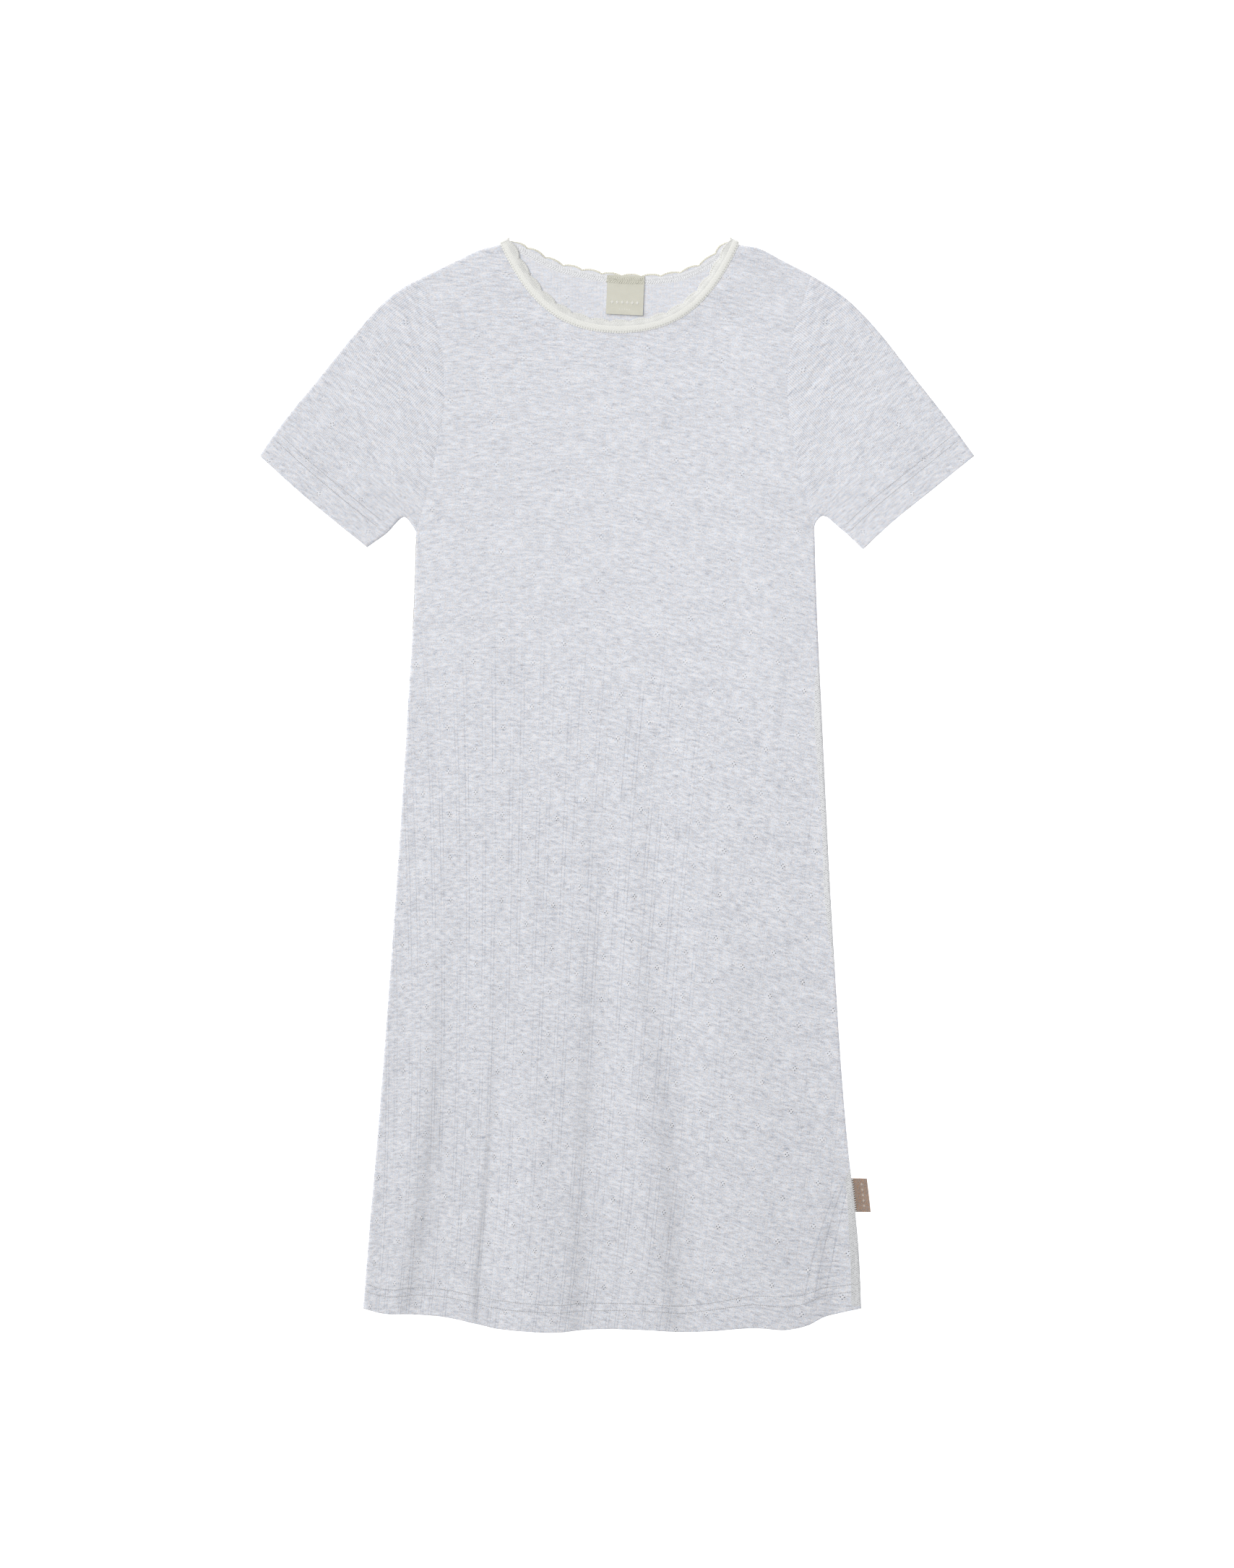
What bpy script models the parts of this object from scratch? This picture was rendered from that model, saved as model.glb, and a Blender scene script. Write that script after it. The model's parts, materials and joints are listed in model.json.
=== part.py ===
"""A child's short-sleeved t-shirt dress in fine ribbed jersey, laid flat with its front up.

Units are metres and +Z is up. The dress lies on the plane z = 0 with its hem towards -Y. The
origin is on that plane, under the middle of the garment's outline. Left and right are as seen
from above: left is -X.

The pieces are the front panel, the back panel, two sleeves, one ring of scalloped elastic trim
round the neck, a neck label and a side seam label. Each panel is a wall of cloth. The front
lies on the back, the sleeves are flattened tubes, and the trim lies over the front's neck edge,
turns round the two shoulders and runs on under the back's neck edge.
"""

import math

import bpy
import numpy as np
from mathutils import Vector
from mathutils.bvhtree import BVHTree

MM = 0.001

# Cloth
CLOTH_WALL = 1.0 * MM
SEAM_GAP = 0.3 * MM
LOFT = 0.8 * MM  # how far the front eases off the back, away from the closed edges
LOFT_RUN = 22.0 * MM  # the distance from a closed edge over which it does so

# Neck trim: widths are measured across the strip, from its outer picot edge to the scallops
BAND_WIDTH = 4.7 * MM
BAND_WALL = 1.2 * MM
LACE_WALL = 1.0 * MM
LACE_STEP = 0.4 * MM  # the slope from the band's face down to the lace's face
SCALLOP_ROOT = 6.6 * MM
SCALLOP_TIP = 8.4 * MM
SCALLOP_TIP_BACK = 7.7 * MM  # the lace is stretched flatter along the back neck
SCALLOP_FULLNESS = 0.7  # below 1 the scallops are fuller than a half sine
SCALLOP_PITCH = 13.0 * MM
SCALLOP_STATIONS = 5
FOLD_BULGE = 1.0 * MM  # how much wider the strip shows where it turns round a shoulder
FOLD_STATIONS = 5
PANEL_UNDER_TRIM = 6.0 * MM  # how far a panel's neck edge reaches in under the trim

# Front neckline, along the trim's outer edge
NECK_CENTRE_X = 1.7 * MM
NECK_HALF_WIDTH = 80.0 * MM
NECK_TOP_Y = 361.9 * MM
FRONT_NECK_DEPTH = 59.3 * MM

# Back neckline, along the roots of the scallops, between the two shoulder folds (x, y in mm)
BACK_NECK = (
    (-61.6, 360.9),
    (-49.2, 354.6),
    (-37.8, 349.2),
    (-25.7, 346.1),
    (-12.1, 343.4),
    (1.7, 341.6),
    (14.8, 341.2),
    (28.1, 341.5),
    (39.8, 343.2),
    (51.9, 347.3),
    (62.1, 353.3),
    (69.8, 360.6),
)
BACK_TURN_RUN = 18.0 * MM  # the trim turns from the fold to the back neckline over this length
BACK_RAISE_FULL = 14.0 * MM  # the back panel is lifted over the trim out to here
BACK_RAISE_RUN = 30.0 * MM  # and comes down again over this length

# Seams that both panels share, in mm
SIDE_SEAMS = (
    # y, left x, right x
    (-352.0, -170.6, 163.9),
    (-317.4, -167.8, 162.5),
    (-288.0, -165.4, 160.0),
    (-249.5, -162.0, 155.6),
    (-104.0, -150.8, 145.0),
    (41.5, -141.1, 137.7),
    (138.5, -135.8, 133.4),
    (169.0, -135.0, 132.6),
)
ARMHOLES = (
    # left x, left y, right x, right y
    (-135.0, 169.0, 132.6, 169.0),
    (-129.0, 188.0, 127.9, 188.0),
    (-122.5, 216.0, 121.0, 216.0),
    (-116.3, 250.0, 114.9, 250.0),
    (-115.4, 272.0, 114.1, 272.0),
    (-117.7, 296.0, 116.7, 296.0),
    (-124.3, 321.0, 123.5, 321.0),
    (-130.7, 340.2, 130.0, 341.7),
)
SHOULDERS = (
    # left x, left y, right x, right y
    (-130.7, 340.2, 130.0, 341.7),
    (-111.1, 349.5, 112.0, 350.9),
    (-88.0, 359.6, 90.5, 360.6),
    (-80.6, 361.3, 83.9, 361.3),
)
SLEEVE_TOPS = (
    # left x, left y, right x, right y
    (-130.7, 340.2, 130.0, 341.7),
    (-144.0, 333.0, 144.3, 333.0),
    (-157.1, 322.8, 157.4, 322.8),
    (-174.9, 303.5, 175.7, 303.5),
    (-198.6, 274.3, 198.6, 274.3),
    (-229.6, 235.5, 228.8, 235.5),
    (-239.9, 220.3, 239.8, 220.3),
)
CUFFS = (
    # left x, left y, right x, right y
    (-167.6, 158.8, 165.0, 157.4),
    (-186.4, 173.8, 182.4, 173.7),
    (-215.3, 197.9, 211.6, 197.5),
    (-239.9, 220.3, 239.8, 220.3),
)
UNDERARMS = (
    # left x, left y, right x, right y
    (-135.0, 169.0, 132.6, 169.0),
    (-137.6, 173.2, 133.2, 174.3),
    (-142.0, 178.8, 137.2, 179.6),
    (-154.7, 168.2, 150.3, 171.2),
    (-167.6, 158.8, 165.0, 157.4),
)
FRONT_HEM = (
    # x, y
    (-170.6, -352.0),
    (-158.0, -355.2),
    (-139.7, -355.8),
    (-114.0, -357.8),
    (-96.5, -361.6),
    (-82.0, -364.9),
    (-62.0, -366.8),
    (-40.7, -367.5),
    (-22.0, -365.8),
    (-2.0, -365.3),
    (21.3, -365.9),
    (45.0, -367.4),
    (60.0, -367.0),
    (91.7, -364.8),
    (116.4, -365.8),
    (129.5, -362.5),
    (137.7, -358.2),
    (150.0, -355.0),
    (163.9, -352.0),
)
BACK_HEM = (
    # x, y
    (-170.6, -352.0),
    (-85.0, -359.1),
    (-3.0, -361.5),
    (80.0, -359.3),
    (163.9, -352.0),
)

# Soft folds of the skirt's front: it rises off the back towards the hem, and troughs run up it
HEM_RISE = 5.0 * MM
RISE_TOP_Y = 30.0 * MM
RISE_HEM_Y = -352.0 * MM
RISE_POWER = 1.5
RISE_LIMIT = 1.1  # the climb goes on below the side seams' ends, where the hem dips, to here
RISE_SIDE_RUN = 36.0 * MM  # the rise dies out over this distance from the side seams
TROUGH_HEIGHTS = (-350.0, -200.0, -50.0)  # y of the three places in the next table, in mm
TROUGHS = (
    # x at hem, x half way, x at top, half width at hem, half width at top, depth share
    (-145.0, -129.0, -118.0, 17.0, 10.0, 0.95),
    (-94.0, -85.5, -82.0, 7.5, 8.0, 0.85),
    (-29.0, -28.5, -25.0, 9.5, 11.0, 0.90),
    (37.0, 29.0, 16.0, 13.0, 12.0, 0.95),
    (135.0, 152.0, 162.0, 18.0, 10.0, 0.80),
)

# Labels
LABEL_WALL = 1.0 * MM
NECK_LABEL_CENTRE = (5.5 * MM, 328.2 * MM)
NECK_LABEL_WIDTH = 24.8 * MM
NECK_LABEL_LENGTH = 25.8 * MM
NECK_LABEL_TURN = math.radians(-2.6)
NECK_LABEL_CELLS = (4, 6)
SIDE_LABEL_TOP_Y = -264.6 * MM
SIDE_LABEL_LENGTH = 22.6 * MM
SIDE_LABEL_WIDTH = 10.3 * MM
SIDE_LABEL_DROP = 0.65 * MM  # the seam holds it this far up, and its free edge rests flat
SIDE_LABEL_TILT = 0.2 * MM  # its free edge hangs this much lower than its sewn edge
SIDE_LABEL_SETTLE = 1.6  # it lies flat from one part in this many of its width
SIDE_LABEL_CELLS = (4, 4)

# Mesh stations
SIDE_ROWS_FRONT = 15
SIDE_ROWS_BACK = 9
ARMHOLE_SHARES = (0.0, 0.09, 0.18, 0.27, 0.36, 0.45, 0.54, 0.63, 0.72, 0.81, 0.88, 0.94, 1.0)
FRONT_SHOULDER_COLUMNS = 8
FRONT_NECK_COLUMNS = 30
BACK_SHOULDER_COLUMNS = 7
BACK_NECK_COLUMNS = 16
SLEEVE_STATIONS = 10
TUBE_ROUND_OVER = 0.45  # a sleeve's folded edge is rounded in over this share of the wall
TUBE_INNER_END = 1.3  # and its inner face ends this many walls in from the fold
PATH_SAMPLES = 40  # points read between each two given points of a path
NECK_SAMPLES = 161  # points along the front neckline's curve
EDGE_SAMPLES = 25  # points along each line that a distance is measured to
TRIM_SAMPLES = 41  # points along the middle of the trim's back half
SHARE_PROBE = 0.002  # the step in share over which a path's direction is read
SHORTEST_SQUARE = 1e-18  # keeps a distance to a line of no length finite
SMOOTH_ANGLE = math.radians(50.0)
SLOPE_PROBE = 0.5 * MM
RAY_HEIGHT = 0.1

LEFT, RIGHT = 0, 1


# ---------------------------------------------------------------- curves in plan


class Path:
    """A smooth curve in plan through given points, read by the share of its length."""

    def __init__(self, points):
        """Take the points in order, in metres."""
        self.points = self.smooth(np.array(points, dtype=float))
        steps = np.linalg.norm(np.diff(self.points, axis=0), axis=1)
        self.lengths = np.concatenate([[0.0], np.cumsum(steps)])
        self.length = self.lengths[-1]

    @staticmethod
    def smooth(knots):
        """Read a Hermite curve through the knots, with slopes from each knot's neighbours."""
        if len(knots) < 3:
            return knots
        marks = np.concatenate([[0.0], np.cumsum(np.linalg.norm(np.diff(knots, axis=0), axis=1))])
        slopes = np.gradient(knots, marks, axis=0)
        pieces = []
        for i in range(len(knots) - 1):
            run = marks[i + 1] - marks[i]
            t = np.linspace(0.0, 1.0, PATH_SAMPLES, endpoint=False)[:, None]
            pieces.append(
                (2 * t**3 - 3 * t**2 + 1) * knots[i]
                + (t**3 - 2 * t**2 + t) * run * slopes[i]
                + (3 * t**2 - 2 * t**3) * knots[i + 1]
                + (t**3 - t**2) * run * slopes[i + 1]
            )
        return np.vstack(pieces + [knots[-1:]])

    def at(self, shares):
        """The points at these shares of the length."""
        marks = np.asarray(shares, dtype=float) * self.length
        axes = [np.interp(marks, self.lengths, self.points[:, axis]) for axis in (0, 1)]
        return np.stack(axes, axis=-1)

    def normal(self, shares):
        """The unit vectors to the left of the path's direction at these shares."""
        shares = np.asarray(shares, dtype=float)
        ahead = self.at(np.minimum(shares + SHARE_PROBE, 1.0))
        behind = self.at(np.maximum(shares - SHARE_PROBE, 0.0))
        along = ahead - behind
        across = np.stack([-along[..., 1], along[..., 0]], axis=-1)
        return across / np.linalg.norm(across, axis=-1, keepdims=True)


def smoothstep(value):
    """Ease from 0 to 1 as the value goes from 0 to 1."""
    value = np.clip(value, 0.0, 1.0)
    return value * value * (3.0 - 2.0 * value)


def table_path(rows, x_column, y_column):
    """A path through two columns of a table in millimetres."""
    return Path([(row[x_column] * MM, row[y_column] * MM) for row in rows])


def front_neck_path(width):
    """The front neckline from left to right, this far in from the trim's outer edge."""
    share = np.linspace(-1.0, 1.0, NECK_SAMPLES)
    x = NECK_CENTRE_X + NECK_HALF_WIDTH * share
    fall = 1.0 - (share**2 + share**4) / 2.0
    outer = Path(np.stack([x, NECK_TOP_Y - FRONT_NECK_DEPTH * fall], axis=-1))
    marks = np.linspace(0.0, 1.0, NECK_SAMPLES)
    return Path(outer.at(marks) + outer.normal(marks) * width)


SIDES = [table_path(SIDE_SEAMS, 1, 0), table_path(SIDE_SEAMS, 2, 0)]
ARMS = [table_path(ARMHOLES, 0, 1), table_path(ARMHOLES, 2, 3)]
SLEEVE_EDGES = [table_path(SLEEVE_TOPS, 0, 1), table_path(SLEEVE_TOPS, 2, 3)]
CUFF_EDGES = [table_path(CUFFS, 0, 1), table_path(CUFFS, 2, 3)]
UNDERARM_EDGES = [table_path(UNDERARMS, 0, 1), table_path(UNDERARMS, 2, 3)]
NECK_OUTER = front_neck_path(0.0)
FOLD_STARTS = NECK_OUTER.at([0.0, 1.0])
FOLD_ACROSS = NECK_OUTER.normal([0.0, 1.0])


def shoulder_path(side):
    """The shoulder seam from the armhole to the panel's neck corner."""
    corner = FOLD_STARTS[side] + FOLD_ACROSS[side] * PANEL_UNDER_TRIM
    points = [(row[2 * side] * MM, row[2 * side + 1] * MM) for row in SHOULDERS]
    return Path(points + [tuple(corner)])


def back_neck_path():
    """The line of the scallops' roots along the back neckline, from left to right."""
    ends = FOLD_STARTS + FOLD_ACROSS * SCALLOP_ROOT
    points = [(x * MM, y * MM) for x, y in BACK_NECK]
    return Path([tuple(ends[LEFT])] + points + [tuple(ends[RIGHT])])


BACK_ROOTS = back_neck_path()
SHOULDER_SEAMS = [shoulder_path(LEFT), shoulder_path(RIGHT)]


def back_trim_frame(share):
    """The trim's outer edge and its direction across, at a share of the back neckline."""
    side = LEFT if share < 0.5 else RIGHT
    from_end = min(share, 1.0 - share) * BACK_ROOTS.length
    blend = smoothstep(from_end / BACK_TURN_RUN)
    across = (1.0 - blend) * FOLD_ACROSS[side] + blend * BACK_ROOTS.normal(share)
    across = across / np.linalg.norm(across)
    return BACK_ROOTS.at(share) - across * SCALLOP_ROOT, across


def back_panel_neck(shares):
    """The back panel's own neck edge, a little in from the roots of the scallops."""
    frames = [back_trim_frame(share) for share in shares]
    return np.array([outer + across * PANEL_UNDER_TRIM for outer, across in frames])


# ---------------------------------------------------------------- heights


def distance_to(path_points, x, y):
    """The distance in plan from each point to a line through path points."""
    starts = path_points[:-1]
    runs = path_points[1:] - starts
    squares = np.maximum((runs**2).sum(axis=1), SHORTEST_SQUARE)
    away_x = x[..., None] - starts[:, 0]
    away_y = y[..., None] - starts[:, 1]
    share = np.clip((away_x * runs[:, 0] + away_y * runs[:, 1]) / squares, 0.0, 1.0)
    gaps = np.hypot(away_x - share * runs[:, 0], away_y - share * runs[:, 1])
    return gaps.min(axis=-1)


def back_trim_middle():
    """The line along the middle of the trim's back half."""
    frames = [back_trim_frame(share) for share in np.linspace(0.0, 1.0, TRIM_SAMPLES)]
    return np.array([outer + across * SCALLOP_ROOT / 2.0 for outer, across in frames])


def closed_edges():
    """The garment's closed outline: side seams, underarms, sleeve folds and shoulders."""
    marks = np.linspace(0.0, 1.0, EDGE_SAMPLES)
    paths = SIDES + UNDERARM_EDGES + SLEEVE_EDGES + SHOULDER_SEAMS
    return [path.at(marks) for path in paths]


CLOSED_EDGES = closed_edges()
SIDE_LINES = [path.at(np.linspace(0.0, 1.0, EDGE_SAMPLES)) for path in SIDES]
BACK_TRIM_MIDDLE = back_trim_middle()


def edge_distance(lines, x, y):
    """The distance in plan to the nearest of several lines."""
    return np.min([distance_to(line, x, y) for line in lines], axis=0)


def back_lift(x, y):
    """How far the back panel is lifted where it lies over the neck trim."""
    beyond = distance_to(BACK_TRIM_MIDDLE, x, y) - BACK_RAISE_FULL
    return (BAND_WALL + SEAM_GAP) * (1.0 - smoothstep(beyond / BACK_RAISE_RUN))


def fold_rise(x, y):
    """How far the skirt's front rises in its folds, with the troughs between them."""
    climb = np.clip((RISE_TOP_Y - y) / (RISE_TOP_Y - RISE_HEM_Y), 0.0, RISE_LIMIT)
    climb = climb**RISE_POWER
    near_side = smoothstep(edge_distance(SIDE_LINES, x, y) / RISE_SIDE_RUN)
    heights = np.array(TROUGH_HEIGHTS) * MM
    level = np.ones_like(x)
    for hem_x, half_x, top_x, hem_width, top_width, depth in TROUGHS:
        centre = np.interp(y, heights, np.array([hem_x, half_x, top_x]) * MM)
        width = np.interp(y, heights[[0, 2]], np.array([hem_width, top_width]) * MM)
        level = level * (1.0 - depth * np.exp(-(((x - centre) / width) ** 2)))
    return HEM_RISE * climb * near_side * level


def front_under(x, y):
    """The height of the front cloth's lower face, on the panel and on the sleeves alike."""
    loft = LOFT * smoothstep(edge_distance(CLOSED_EDGES, x, y) / LOFT_RUN)
    return CLOTH_WALL + SEAM_GAP + back_lift(x, y) + loft + fold_rise(x, y)


def wall_height(under, x, y):
    """The upright thickness that gives a sloping cloth its full wall."""
    slope_x = (under(x + SLOPE_PROBE, y) - under(x - SLOPE_PROBE, y)) / (2.0 * SLOPE_PROBE)
    slope_y = (under(x, y + SLOPE_PROBE) - under(x, y - SLOPE_PROBE)) / (2.0 * SLOPE_PROBE)
    return CLOTH_WALL * np.sqrt(1.0 + slope_x**2 + slope_y**2)


def cloth_faces(plan, under):
    """The lower and upper points of a cloth over a grid of plan points."""
    x, y = plan[..., 0], plan[..., 1]
    low = under(x, y)
    high = low + wall_height(under, x, y)
    return np.stack([x, y, low], axis=-1), np.stack([x, y, high], axis=-1)


# ---------------------------------------------------------------- solids


def clear_scene():
    """Remove whatever objects the file holds."""
    for item in list(bpy.data.objects):
        bpy.data.objects.remove(item, do_unlink=True)


def finish(name, colour, roughness):
    """A plain finish for one piece."""
    material = bpy.data.materials.new(name)
    material.use_nodes = True
    shader = material.node_tree.nodes["Principled BSDF"]
    shader.inputs["Base Color"].default_value = (*colour, 1.0)
    shader.inputs["Roughness"].default_value = roughness
    shader.inputs["Metallic"].default_value = 0.0
    material.diffuse_color = (*colour, 1.0)
    return material


def add_solid(name, points, faces, material):
    """Make a closed mesh object from points and faces."""
    mesh = bpy.data.meshes.new(name)
    mesh.from_pydata([tuple(point) for point in points], [], faces)
    mesh.materials.append(material)
    mesh.validate()
    mesh.shade_smooth()
    mesh.set_sharp_from_angle(angle=SMOOTH_ANGLE)
    piece = bpy.data.objects.new(name, mesh)
    bpy.context.scene.collection.objects.link(piece)
    return piece


def split(a, b, c, d):
    """A four-sided face as two triangles."""
    return [(a, b, c), (a, c, d)]


def sheet_solid(name, lower, upper, material):
    """A closed wall between two grids of points, rows running up and columns to the right."""
    rows, columns = lower.shape[:2]
    count = rows * columns
    faces = []

    def low(row, column):
        return row * columns + column

    def high(row, column):
        return count + row * columns + column

    for row in range(rows - 1):
        for column in range(columns - 1):
            near, far = (row, column), (row + 1, column + 1)
            faces += split(low(*near), low(far[0], near[1]), low(*far), low(near[0], far[1]))
            faces += split(high(*near), high(near[0], far[1]), high(*far), high(far[0], near[1]))
    border = [(0, column) for column in range(columns)]
    border += [(row, columns - 1) for row in range(1, rows)]
    border += [(rows - 1, column) for column in range(columns - 2, -1, -1)]
    border += [(row, 0) for row in range(rows - 2, 0, -1)]
    for here, there in zip(border, border[1:] + border[:1]):
        faces += split(low(*here), low(*there), high(*there), high(*here))
    points = np.vstack([lower.reshape(-1, 3), upper.reshape(-1, 3)])
    return add_solid(name, points, faces, material)


def ring_faces(rings, size, start, closed, flip):
    """Faces between rings of points, each ring closed on itself."""
    faces = []
    spans = rings if closed else rings - 1
    for ring in range(spans):
        for spot in range(size):
            here, there = ring * size, (ring + 1) % rings * size
            after = (spot + 1) % size
            corners = [here + spot, here + after, there + after, there + spot]
            corners = [start + corner for corner in corners]
            if flip:
                corners.reverse()
            faces += split(*corners)
    return faces


def coons(rows, columns, low, high, left, right):
    """Fill a grid from its four border lines.

    rows and columns are the shares of the grid's height and width. low and high are the points
    of the lower and upper borders at those columns, left and right those of the sides.
    """
    v = np.asarray(rows)[:, None, None]
    u = np.asarray(columns)[None, :, None]
    across = (1.0 - v) * low[None] + v * high[None]
    along = (1.0 - u) * left[:, None] + u * right[:, None]
    corners = (1.0 - v) * ((1.0 - u) * low[0] + u * low[-1])
    corners = corners + v * ((1.0 - u) * high[0] + u * high[-1])
    return across + along - corners


# ---------------------------------------------------------------- panels


def panel_sides(side_rows):
    """The rows' shares, and the points of both sides from the hem to the shoulders."""
    side_shares = np.linspace(0.0, 1.0, side_rows + 1)
    arm_shares = np.array(ARMHOLE_SHARES[1:])
    whole = SIDES[LEFT].length + ARMS[LEFT].length
    side_part = SIDES[LEFT].length / whole
    rows = np.concatenate([side_shares * side_part, side_part + arm_shares * (1.0 - side_part)])
    borders = [np.vstack([SIDES[i].at(side_shares), ARMS[i].at(arm_shares)]) for i in (0, 1)]
    return rows, borders[LEFT], borders[RIGHT]


def panel_top(neck_points, neck_length, shoulder_columns):
    """The columns' shares, and the points along shoulder, neckline and shoulder."""
    shares = np.linspace(0.0, 1.0, shoulder_columns + 1)
    left = SHOULDER_SEAMS[LEFT].at(shares)
    right = SHOULDER_SEAMS[RIGHT].at(shares[::-1])
    neck_shares = np.linspace(0.0, 1.0, len(neck_points))
    lengths = [SHOULDER_SEAMS[LEFT].length, neck_length, SHOULDER_SEAMS[RIGHT].length]
    whole = sum(lengths)
    columns = np.concatenate(
        [
            shares * lengths[0],
            lengths[0] + neck_shares[1:-1] * lengths[1],
            lengths[0] + lengths[1] + shares * lengths[2],
        ]
    )
    return columns / whole, np.vstack([left, neck_points[1:-1], right])


def front_panel(material):
    """The front, with its scooped neck; gives back the grid of its upper face."""
    neck = front_neck_path(PANEL_UNDER_TRIM)
    neck_points = neck.at(np.linspace(0.0, 1.0, FRONT_NECK_COLUMNS + 1))
    columns, top = panel_top(neck_points, neck.length, FRONT_SHOULDER_COLUMNS)
    rows, left, right = panel_sides(SIDE_ROWS_FRONT)
    hem = Path([(x * MM, y * MM) for x, y in FRONT_HEM]).at(columns)
    lower, upper = cloth_faces(coons(rows, columns, hem, top, left, right), front_under)
    sheet_solid("front_panel", lower, upper, material)
    return upper


def back_panel(material):
    """The back, lying flat but where it covers the trim; gives back its upper grid."""
    neck_points = back_panel_neck(np.linspace(0.0, 1.0, BACK_NECK_COLUMNS + 1))
    columns, top = panel_top(neck_points, BACK_ROOTS.length, BACK_SHOULDER_COLUMNS)
    rows, left, right = panel_sides(SIDE_ROWS_BACK)
    hem = Path([(x * MM, y * MM) for x, y in BACK_HEM]).at(columns)
    lower, upper = cloth_faces(coons(rows, columns, hem, top, left, right), back_lift)
    sheet_solid("back_panel", lower, upper, material)
    return upper


# ---------------------------------------------------------------- sleeves


def sleeve_plan(side):
    """A grid over the flattened sleeve: rows from armhole to cuff, columns underarm to top."""
    outward = 1.0 if side == LEFT else -1.0
    columns = np.array(ARMHOLE_SHARES)
    rows = np.linspace(0.0, 1.0, SLEEVE_STATIONS + 1)
    armhole = ARMS[side].at(columns) + outward * ARMS[side].normal(columns) * SEAM_GAP
    under = UNDERARM_EDGES[side].at(rows)
    top = SLEEVE_EDGES[side].at(rows)
    fade = (1.0 - rows)[:, None]
    under = under + fade * (armhole[0] - under[0])
    top = top + fade * (armhole[-1] - top[0])
    return coons(rows, columns, armhole, CUFF_EDGES[side].at(columns), under, top)


def sleeve_ring(plan_row, height_row):
    """The outer and inner points round one section of the flattened tube."""
    across = plan_row[-1] - plan_row[0]
    across = across / np.linalg.norm(across)
    middle = CLOTH_WALL + SEAM_GAP / 2.0
    round_over = CLOTH_WALL * TUBE_ROUND_OVER
    outer_plan, inner_plan = plan_row.copy(), plan_row.copy()
    for plan, inset in ((outer_plan, round_over), (inner_plan, CLOTH_WALL * TUBE_INNER_END)):
        plan[0] = plan[0] + across * inset
        plan[-1] = plan[-1] - across * inset
    low, high = height_row

    def layer(plan, height):
        return np.column_stack([plan, np.broadcast_to(height, len(plan))])

    def tip(end, inset):
        point = plan_row[end] + across * inset * (1.0 if end == 0 else -1.0)
        return np.array([[point[0], point[1], middle]])

    outer = [layer(outer_plan, 0.0), tip(-1, 0.0), layer(outer_plan, high)[::-1], tip(0, 0.0)]
    inner_low = layer(inner_plan, CLOTH_WALL)
    inner_high = layer(inner_plan, low)[::-1]
    inner = [inner_low, tip(-1, CLOTH_WALL), inner_high, tip(0, CLOTH_WALL)]
    return np.vstack(outer), np.vstack(inner)


def sleeve(name, side, material):
    """A set-in short sleeve, one flattened tube open at the armhole and at the cuff."""
    lower, upper = cloth_faces(sleeve_plan(side), front_under)
    outer_rings, inner_rings = [], []
    for low_row, high_row in zip(lower, upper):
        outer, inner = sleeve_ring(low_row[:, :2], (low_row[:, 2], high_row[:, 2]))
        outer_rings.append(outer)
        inner_rings.append(inner)
    rings, size = len(outer_rings), len(outer_rings[0])
    start = rings * size
    mirrored = side == LEFT
    faces = ring_faces(rings, size, 0, False, mirrored)
    faces += ring_faces(rings, size, start, False, not mirrored)
    for ring, flip in ((0, not mirrored), (rings - 1, mirrored)):
        for spot in range(size):
            after = (spot + 1) % size
            here, there = ring * size + spot, ring * size + after
            corners = [here, there, start + there, start + here]
            if flip:
                corners.reverse()
            faces += split(*corners)
    points = np.vstack(outer_rings + inner_rings)
    return add_solid(name, points, faces, material)


# ---------------------------------------------------------------- neck trim


def scallop_width(phase, tip):
    """The strip's width at a phase of the scallops, one unit to a scallop."""
    bulge = math.sin(math.pi * (phase % 1.0)) ** SCALLOP_FULLNESS
    return SCALLOP_ROOT + (tip - SCALLOP_ROOT) * bulge


def trim_stations():
    """The outer edge, direction across, turn and width of the strip, round the whole neck."""
    roots = front_neck_path(SCALLOP_ROOT)
    front_count = round(roots.length / SCALLOP_PITCH) * SCALLOP_STATIONS
    back_count = round(BACK_ROOTS.length / SCALLOP_PITCH) * SCALLOP_STATIONS
    stations = []
    for step in range(front_count + 1):
        share = step / front_count
        width = scallop_width(step / SCALLOP_STATIONS, SCALLOP_TIP)
        stations.append((NECK_OUTER.at(share), NECK_OUTER.normal(share), 0.0, width))
    turns = [math.pi * (step + 1) / (FOLD_STATIONS + 1) for step in range(FOLD_STATIONS)]
    for turn in turns:
        width = SCALLOP_ROOT + FOLD_BULGE * math.sin(turn)
        stations.append((FOLD_STARTS[RIGHT], FOLD_ACROSS[RIGHT], turn, width))
    for step in range(back_count + 1):
        outer, across = back_trim_frame(1.0 - step / back_count)
        width = scallop_width(step / SCALLOP_STATIONS, SCALLOP_TIP_BACK)
        stations.append((outer, across, math.pi, width))
    for turn in reversed(turns):
        width = SCALLOP_ROOT + FOLD_BULGE * math.sin(turn)
        stations.append((FOLD_STARTS[LEFT], FOLD_ACROSS[LEFT], turn, width))
    return stations


def surface_reader(grid):
    """A function that reads the height of a panel's upper face at a point in plan."""
    rows, columns = grid.shape[:2]
    faces = []
    for row in range(rows - 1):
        for column in range(columns - 1):
            spot = row * columns + column
            faces += split(spot, spot + 1, spot + columns + 1, spot + columns)
    tree = BVHTree.FromPolygons([Vector(point) for point in grid.reshape(-1, 3)], faces)

    def height(x, y):
        hit = tree.ray_cast(Vector((x, y, RAY_HEIGHT)), Vector((0.0, 0.0, -1.0)))[0]
        if hit is None:
            hit = tree.find_nearest(Vector((x, y, CLOTH_WALL)))[0]
        return hit.z

    return height


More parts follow.
